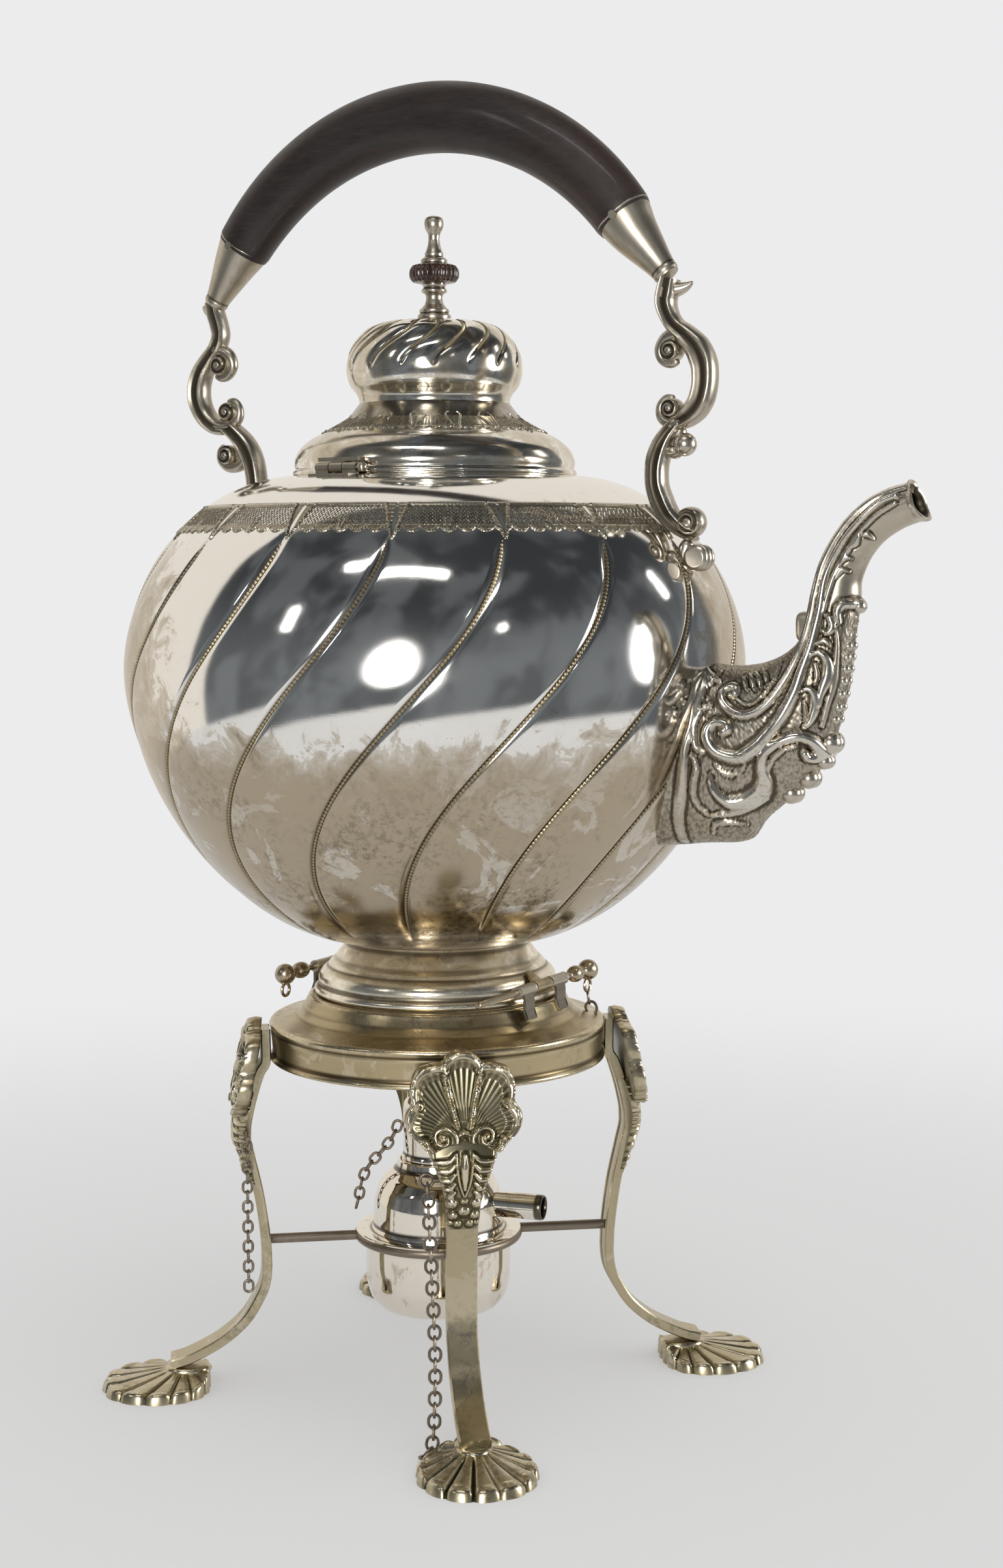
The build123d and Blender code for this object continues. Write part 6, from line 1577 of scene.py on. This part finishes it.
def tilt_pin():
    """Pin with a flat tail, a collar, a larger end ball and the eye that held its chain."""
    tail, high = extent("front_pin", "y")
    end = high - PIN_BALL
    line = [(0, tail), (0.75, tail), (0.9, tail + 0.3), (0.9, end - 16), (0.9, end - 11.4),
            (1.5, end - 10.9), (2.3, end - 9.8), (2.6, end - 8.1), (2.3, end - 6.4), (1.5, end - 5.4),
            (1.1, end - 4.9), (1.35, end - 4.4), (1.35, end - 3.6), (1.6, end - 3.0), (2.6, end - 1.9),
            (3.25, end - 0.3), (3.1, end + 1.2), (2.3, end + 2.5), (1.1, end + 3.2), (0, end + 3.3)]
    grid = lathe(spaced(np.array(line), 130), 28)
    skins = [(on_tilt_axis(grid), 0.2)]
    eye = np.radians(np.linspace(0, 360, 30, endpoint=False))
    ring = np.stack([0 * eye, 1.9 * np.cos(eye), 1.9 * np.sin(eye)], -1) + (PIN_X, end,
                                                                            PIN_Z - PIN_BALL - 1.5)
    skins.append((sweep(ring, circle(0.5, 8), (1, 0, 0), True), 0.1))
    return skins


# Across the picture: every second link of a chain lies flat to it
VIEW_RIGHT = np.array([0.8675, 0.4974, 0.0])


def link(centre, run, side, straight=0.5, bend=1.72, wire=0.46):
    """Oval chain link about a centre: a circle drawn out along its run by the straight."""
    turn = np.radians(np.linspace(0, 360, 26, endpoint=False) + 7)
    run = np.asarray(run, float) / np.linalg.norm(run)
    side = side - run * np.dot(run, side)
    side /= np.linalg.norm(side)
    x = bend * np.cos(turn) + np.sign(np.cos(turn)) * straight / 2
    path = np.asarray(centre, float) + x[:, None] * run + (bend * 0.95 * np.sin(turn))[:, None] * side
    return sweep(path, circle(wire, 7), np.cross(run, side), True), 0.15


def chain(points, pitch=3.05):
    """Chain along a curve, with as many links as its length holds at the pitch, each turned a quarter
    against the last."""
    line = through(points, 240)
    count = int(round(travelled(line)[-1] / pitch))
    places = spaced(line, count + 1)
    skins = []
    for number in range(count):
        run = places[number + 1] - places[number]
        side = VIEW_RIGHT if number % 2 else np.cross(run, VIEW_RIGHT)
        skins.append(link((places[number] + places[number + 1]) / 2, run, side))
    return skins


def knuckle(low, high, radius=1.8):
    """Tube knuckle with a bright rolled rim at both ends."""
    line = [(0.95, low), (radius - 0.15, low), (radius + 0.08, low + 0.25), (radius + 0.02, low + 0.6),
            (radius, low + 0.9), (radius, high - 0.9), (radius + 0.02, high - 0.6),
            (radius + 0.08, high - 0.25), (radius - 0.15, high), (0.95, high), (0.95, low)]
    grid = lathe(np.array(line), 28)
    return on_tilt_axis(grid), 0.1


def stand_hinge():
    """Two knuckles on a slim strip that follows the ring's slope."""
    low, high = extent("stand_hinge_front", "y")
    middle_low, middle_high = extent("kettle_hinge_front", "y")
    inner_low, inner_high = middle_low - 0.4, middle_high + 0.4
    skins = [knuckle(low, inner_low), knuckle(inner_high, high)]
    section = through([(39.6, 4.8), (39.9, 3.0), (39.9, 1.2), (39.9, -0.4), (40.3, -1.8), (41.0, -3.0)], 24)
    slope = np.gradient(section, axis=0)
    slope /= np.linalg.norm(slope, axis=1, keepdims=True)
    normal = np.stack([-slope[:, 1], slope[:, 0]], -1)
    closed = np.concatenate([section + 0.45 * normal, (section - 0.45 * normal)[::-1]])
    for start, end in ((low + 2.2, inner_low - 2.0), (inner_high + 2.0, high - 2.2)):
        y = np.array([start, start + 0.3, end - 0.3, end])
        size = np.array([0.97, 1, 1, 0.97])
        rows = closed.mean(0) + (closed - closed.mean(0))[None] * size[:, None, None]
        grid = np.stack([rows[..., 0], y[:, None] + 0 * rows[..., 0], SEAT_Z + rows[..., 1]], -1)
        grid = np.concatenate([grid, grid[:, :1]], 1)
        caps = np.repeat(grid.mean(1, keepdims=True), grid.shape[1], 1)
        # Painted shadow: the strips are set deep so that they darken like a shadow under the knuckles.
        skins.append((np.concatenate([caps[:1], grid, caps[-1:]]), -0.5))
    return skins


def kettle_hinge():
    """Middle knuckle with a leaf that tapers up to the crease of the pedestal."""
    low, high = extent("kettle_hinge_front", "y")
    path = through([(37.6, 4.6), (37.2, 5.8), (36.4, 7.2), (35.2, 8.3), (33.9, 9.1)], 24)
    line = np.stack([path[:, 0], np.full(24, (low + high) / 2), SEAT_Z + path[:, 1]], -1)
    half = np.linspace((high - low) / 2 - 0.6, 1.2, 24)[:, None]
    flat = np.array([(-1, -0.3), (-0.96, 0.3), (0, 0.45), (0.96, 0.3), (1, -0.3), (0, -0.45)])
    section = np.stack([flat[None, :, 0] * half, flat[None, :, 1] * np.ones_like(half)], -1)
    return [knuckle(low, high), (sweep(line, section), 0.0)]


make_piece("kettle_knuckle_front", kettle_hinge(), "kettle", RING_METAL,
           ["kettle_hinge_front"])
make_piece("kettle_knuckle_rear", spun_skins(kettle_hinge(), 180), "kettle", RING_METAL,
           ["kettle_hinge_rear"])
make_piece("hinge_knuckles_front", stand_hinge(), "stand", CAST, ["stand_hinge_front"])
make_piece("hinge_knuckles_rear", spun_skins(stand_hinge(), 180), "stand", CAST,
           ["stand_hinge_rear"])
make_piece("front_pin_turned", tilt_pin(), "front_pin", BRASS, ["front_pin"])
make_piece("rear_pin_turned", spun_skins(tilt_pin(), 180), "rear_pin", BRASS, ["rear_pin"])
for node in ("chain_eye_front", "chain_eye_left", "leg_chain_left", "snuffer_chain"):
    dress(node, WIRE)
chain_low, chain_high = span("leg_chain_front")
chain_top = np.array([chain_low[0] + 1.9, chain_high[1] - 1.9, chain_high[2] - 0.6])
chain_end = np.array([chain_high[0] - 1.9, chain_low[1] + 1.9, 0.0])
chain_run = [chain_top, chain_top * 0.72 + chain_end * 0.28 + (0, 0, 1.2),
             chain_top * 0.36 + chain_end * 0.64 + (0, 0, 1.4), chain_end + (-2.2, 0.6, 8.0),
             chain_end + (-2.4, -0.6, 3.0), chain_end + (-3.6, -2.4, 1.2), chain_end + (-1.6, -4.4, 1.6),
             chain_end + (1.2, -4.0, 3.2)]
make_piece("pin_chain_front_leg", chain(chain_run), "stand", WIRE, ["leg_chain_front"])
eye_end = np.array([PIN_X, extent("front_pin", "y")[1] - PIN_BALL, PIN_Z - 6.9])
make_piece("pin_chain_rest", chain([eye_end, eye_end + (0.4, 0.3, -3.2), eye_end + (1.6, 0.8, -6.6)]),
           "front_pin", WIRE)


# Floor, backdrop, lamps and camera
TABLE_GREY = (0.39, 0.39, 0.385, 1)
TABLE_RADIUS = 700.0
FADE_START = 220.0
FADE_END = 690.0
STUDIO_WHITE = (0.84, 0.84, 0.85, 1)
WARM_WALL = (0.80, 0.76, 0.70, 1)
ROOM_DARK = (0.034, 0.037, 0.041, 1)
ROOM_PALE = (0.175, 0.19, 0.204, 1)
ROOM_AZIMUTH = -42.5


def floor():
    """Pale round table that fades out with distance, so that it meets the backdrop with no edge."""
    material, tree = blank("pale_table")
    place = millimetres(tree)
    away = put(tree, "ShaderNodeVectorMath", {0: place}, operation="LENGTH").outputs["Value"]
    seen = put(tree, "ShaderNodeLightPath").outputs["Is Camera Ray"]
    soft = sums(tree, "MULTIPLY", spread(tree, away, FADE_START, FADE_END), seen)
    fade = sums(tree, "MAXIMUM", soft, spread(tree, away, TABLE_RADIUS - 28.0, TABLE_RADIUS - 4.0))
    shader = put(tree, "ShaderNodeBsdfPrincipled", {
        "Base Color": TABLE_GREY, "Roughness": 0.9, "Specular IOR Level": 0.2,
        "Emission Color": (1.0, 1.0, 1.0, 1), "Emission Strength": 0.33})
    clear = put(tree, "ShaderNodeBsdfTransparent")
    mix = put(tree, "ShaderNodeMixShader", {0: fade, 1: shader.outputs[0], 2: clear.outputs[0]})
    output = put(tree, "ShaderNodeOutputMaterial")
    tree.links.new(mix.outputs[0], output.inputs["Surface"])
    turn = np.linspace(0, 2 * math.pi, 97)[:-1]
    ring = np.stack([np.cos(turn), np.sin(turn), 0 * turn], -1) * TABLE_RADIUS * MM
    mesh = bpy.data.meshes.new("table")
    mesh.from_pydata(ring.tolist(), [], [list(range(96))])
    mesh.materials.append(material)
    table = bpy.data.objects.new("table", mesh)
    bpy.context.scene.collection.objects.link(table)


def backdrop():
    """White studio behind the kettle, and the dark room in front of it that the polished metal mirrors."""
    world = bpy.data.worlds.new("studio")
    bpy.context.scene.world = world
    world.use_nodes = True
    tree = world.node_tree
    tree.nodes.clear()
    look = put(tree, "ShaderNodeTexCoord").outputs["Generated"]
    front = math.radians(ROOM_AZIMUTH)
    toward = put(tree, "ShaderNodeVectorMath", {0: look, 1: (math.cos(front), math.sin(front), 0)},
                 operation="DOT_PRODUCT").outputs["Value"]
    rise = put(tree, "ShaderNodeSeparateXYZ", {0: look}).outputs["Z"]
    room = spread(tree, toward, -0.36, -0.325)
    blocks = put(tree, "ShaderNodeMapping", {"Vector": look, "Scale": (1.0, 1.0, 0.55)}).outputs[0]
    murk = noise(tree, blocks, 3.4, 3.0, 0.5, 0.4)
    height = spread(tree, rise, 0.1, 0.75, 0.5, 0.0)
    pale = sums(tree, "MULTIPLY_ADD", spread(tree, murk, 0.42, 0.62), 0.5, height, True)
    tone = blend_colour(tree, pale, ROOM_DARK, ROOM_PALE)
    tone = blend_colour(tree, room, WARM_WALL, tone)
    mirrored = put(tree, "ShaderNodeLightPath").outputs["Is Glossy Ray"]
    tone = blend_colour(tree, mirrored, STUDIO_WHITE, tone)
    shade = put(tree, "ShaderNodeBackground", {"Color": tone, "Strength": 1.0})
    output = put(tree, "ShaderNodeOutputWorld")
    tree.links.new(shade.outputs[0], output.inputs["Surface"])


def lamp(name, azimuth, elevation, distance, size, strength, shape="ELLIPSE", mirrored=True):
    """Soft box aimed at the kettle's middle, of a size in metres and a strength per square metre. The metal
    mirrors it, or else it only lights what is dull."""
    aim = Vector((0, 0, 0.2))
    turn, lift = math.radians(azimuth), math.radians(elevation)
    away = Vector((math.cos(lift) * math.cos(turn), math.cos(lift) * math.sin(turn), math.sin(lift)))
    data = bpy.data.lights.new(name, "AREA")
    data.shape = shape
    data.size, data.size_y = size
    data.energy = strength * size[0] * size[1]
    box = bpy.data.objects.new(name, data)
    bpy.context.scene.collection.objects.link(box)
    outward = away.to_track_quat("Z", "Y").to_matrix().to_4x4()
    box.matrix_world = Matrix.Translation(aim + away * distance) @ outward
    box.visible_glossy = mirrored
    box.visible_diffuse = not mirrored


def lamps():
    """Two soft round lamps, each with rings that fade outwards, the strips above and beside them, and a
    lamp overhead for the table."""
    for side, azimuth, elevation, wide, high in (("left", -72.0, 7.5, 0.3, 0.44),
                                                 ("right", 24.6, 9.0, 0.32, 0.5)):
        lamp(f"soft_{side}", azimuth, elevation, 1.2, (wide, high), 24.0)
        for ring, strength in enumerate((7.0, 3.0, 1.5, 0.8, 0.4), 1):
            grown = 0.06 * ring
            lamp(f"glow_{side}_{ring}", azimuth, elevation, 1.2 + 0.02 * ring, (wide + grown, high + grown),
                 strength)
    # Azimuth and elevation in degrees, distance and size in metres, strength
    lamp("strip_left", -76.0, 58.0, 1.5, (0.75, 0.08), 44.0, "RECTANGLE")
    lamp("strip_right", 46.0, 30.0, 1.5, (0.06, 0.26), 40.0, "RECTANGLE")
    lamp("strip_far_left", -114.0, 28.0, 1.5, (0.07, 0.26), 36.0, "RECTANGLE")
    lamp("spot_front", -36.5, 29.7, 1.6, (0.06, 0.06), 36.0, "RECTANGLE")
    lamp("overhead", -30.0, 72.0, 1.6, (1.0, 1.0), 4.6, mirrored=False)


CAMERA_PLACE = (0.3731, -0.6089, 0.25497)
CAMERA_AZIMUTH = 119.905
CAMERA_DROP = 5.638
CAMERA_ROLL = -0.1
CAMERA_LENS = 53.98


def camera():
    """Camera at the photograph's place, from its azimuth, its drop under the horizon and its roll."""
    data = bpy.data.cameras.new("camera")
    data.sensor_fit = "VERTICAL"
    data.sensor_height = 36
    data.lens = CAMERA_LENS
    azimuth, drop, roll = np.radians([CAMERA_AZIMUTH, CAMERA_DROP, CAMERA_ROLL]).tolist()
    ahead = Vector((math.cos(drop) * math.cos(azimuth), math.cos(drop) * math.sin(azimuth), -math.sin(drop)))
    right = ahead.cross(Vector((0, 0, 1))).normalized()
    up = right.cross(ahead)
    right, up = right * math.cos(roll) + up * math.sin(roll), up * math.cos(roll) - right * math.sin(roll)
    view = bpy.data.objects.new("camera", data)
    bpy.context.scene.collection.objects.link(view)
    place = Matrix((right, up, -ahead)).transposed().to_4x4()
    place.translation = Vector(CAMERA_PLACE)
    view.matrix_world = place
    bpy.context.scene.camera = view


floor()
backdrop()
lamps()
camera()
bpy.context.scene.view_settings.view_transform = "Standard"
bpy.context.view_layer.update()
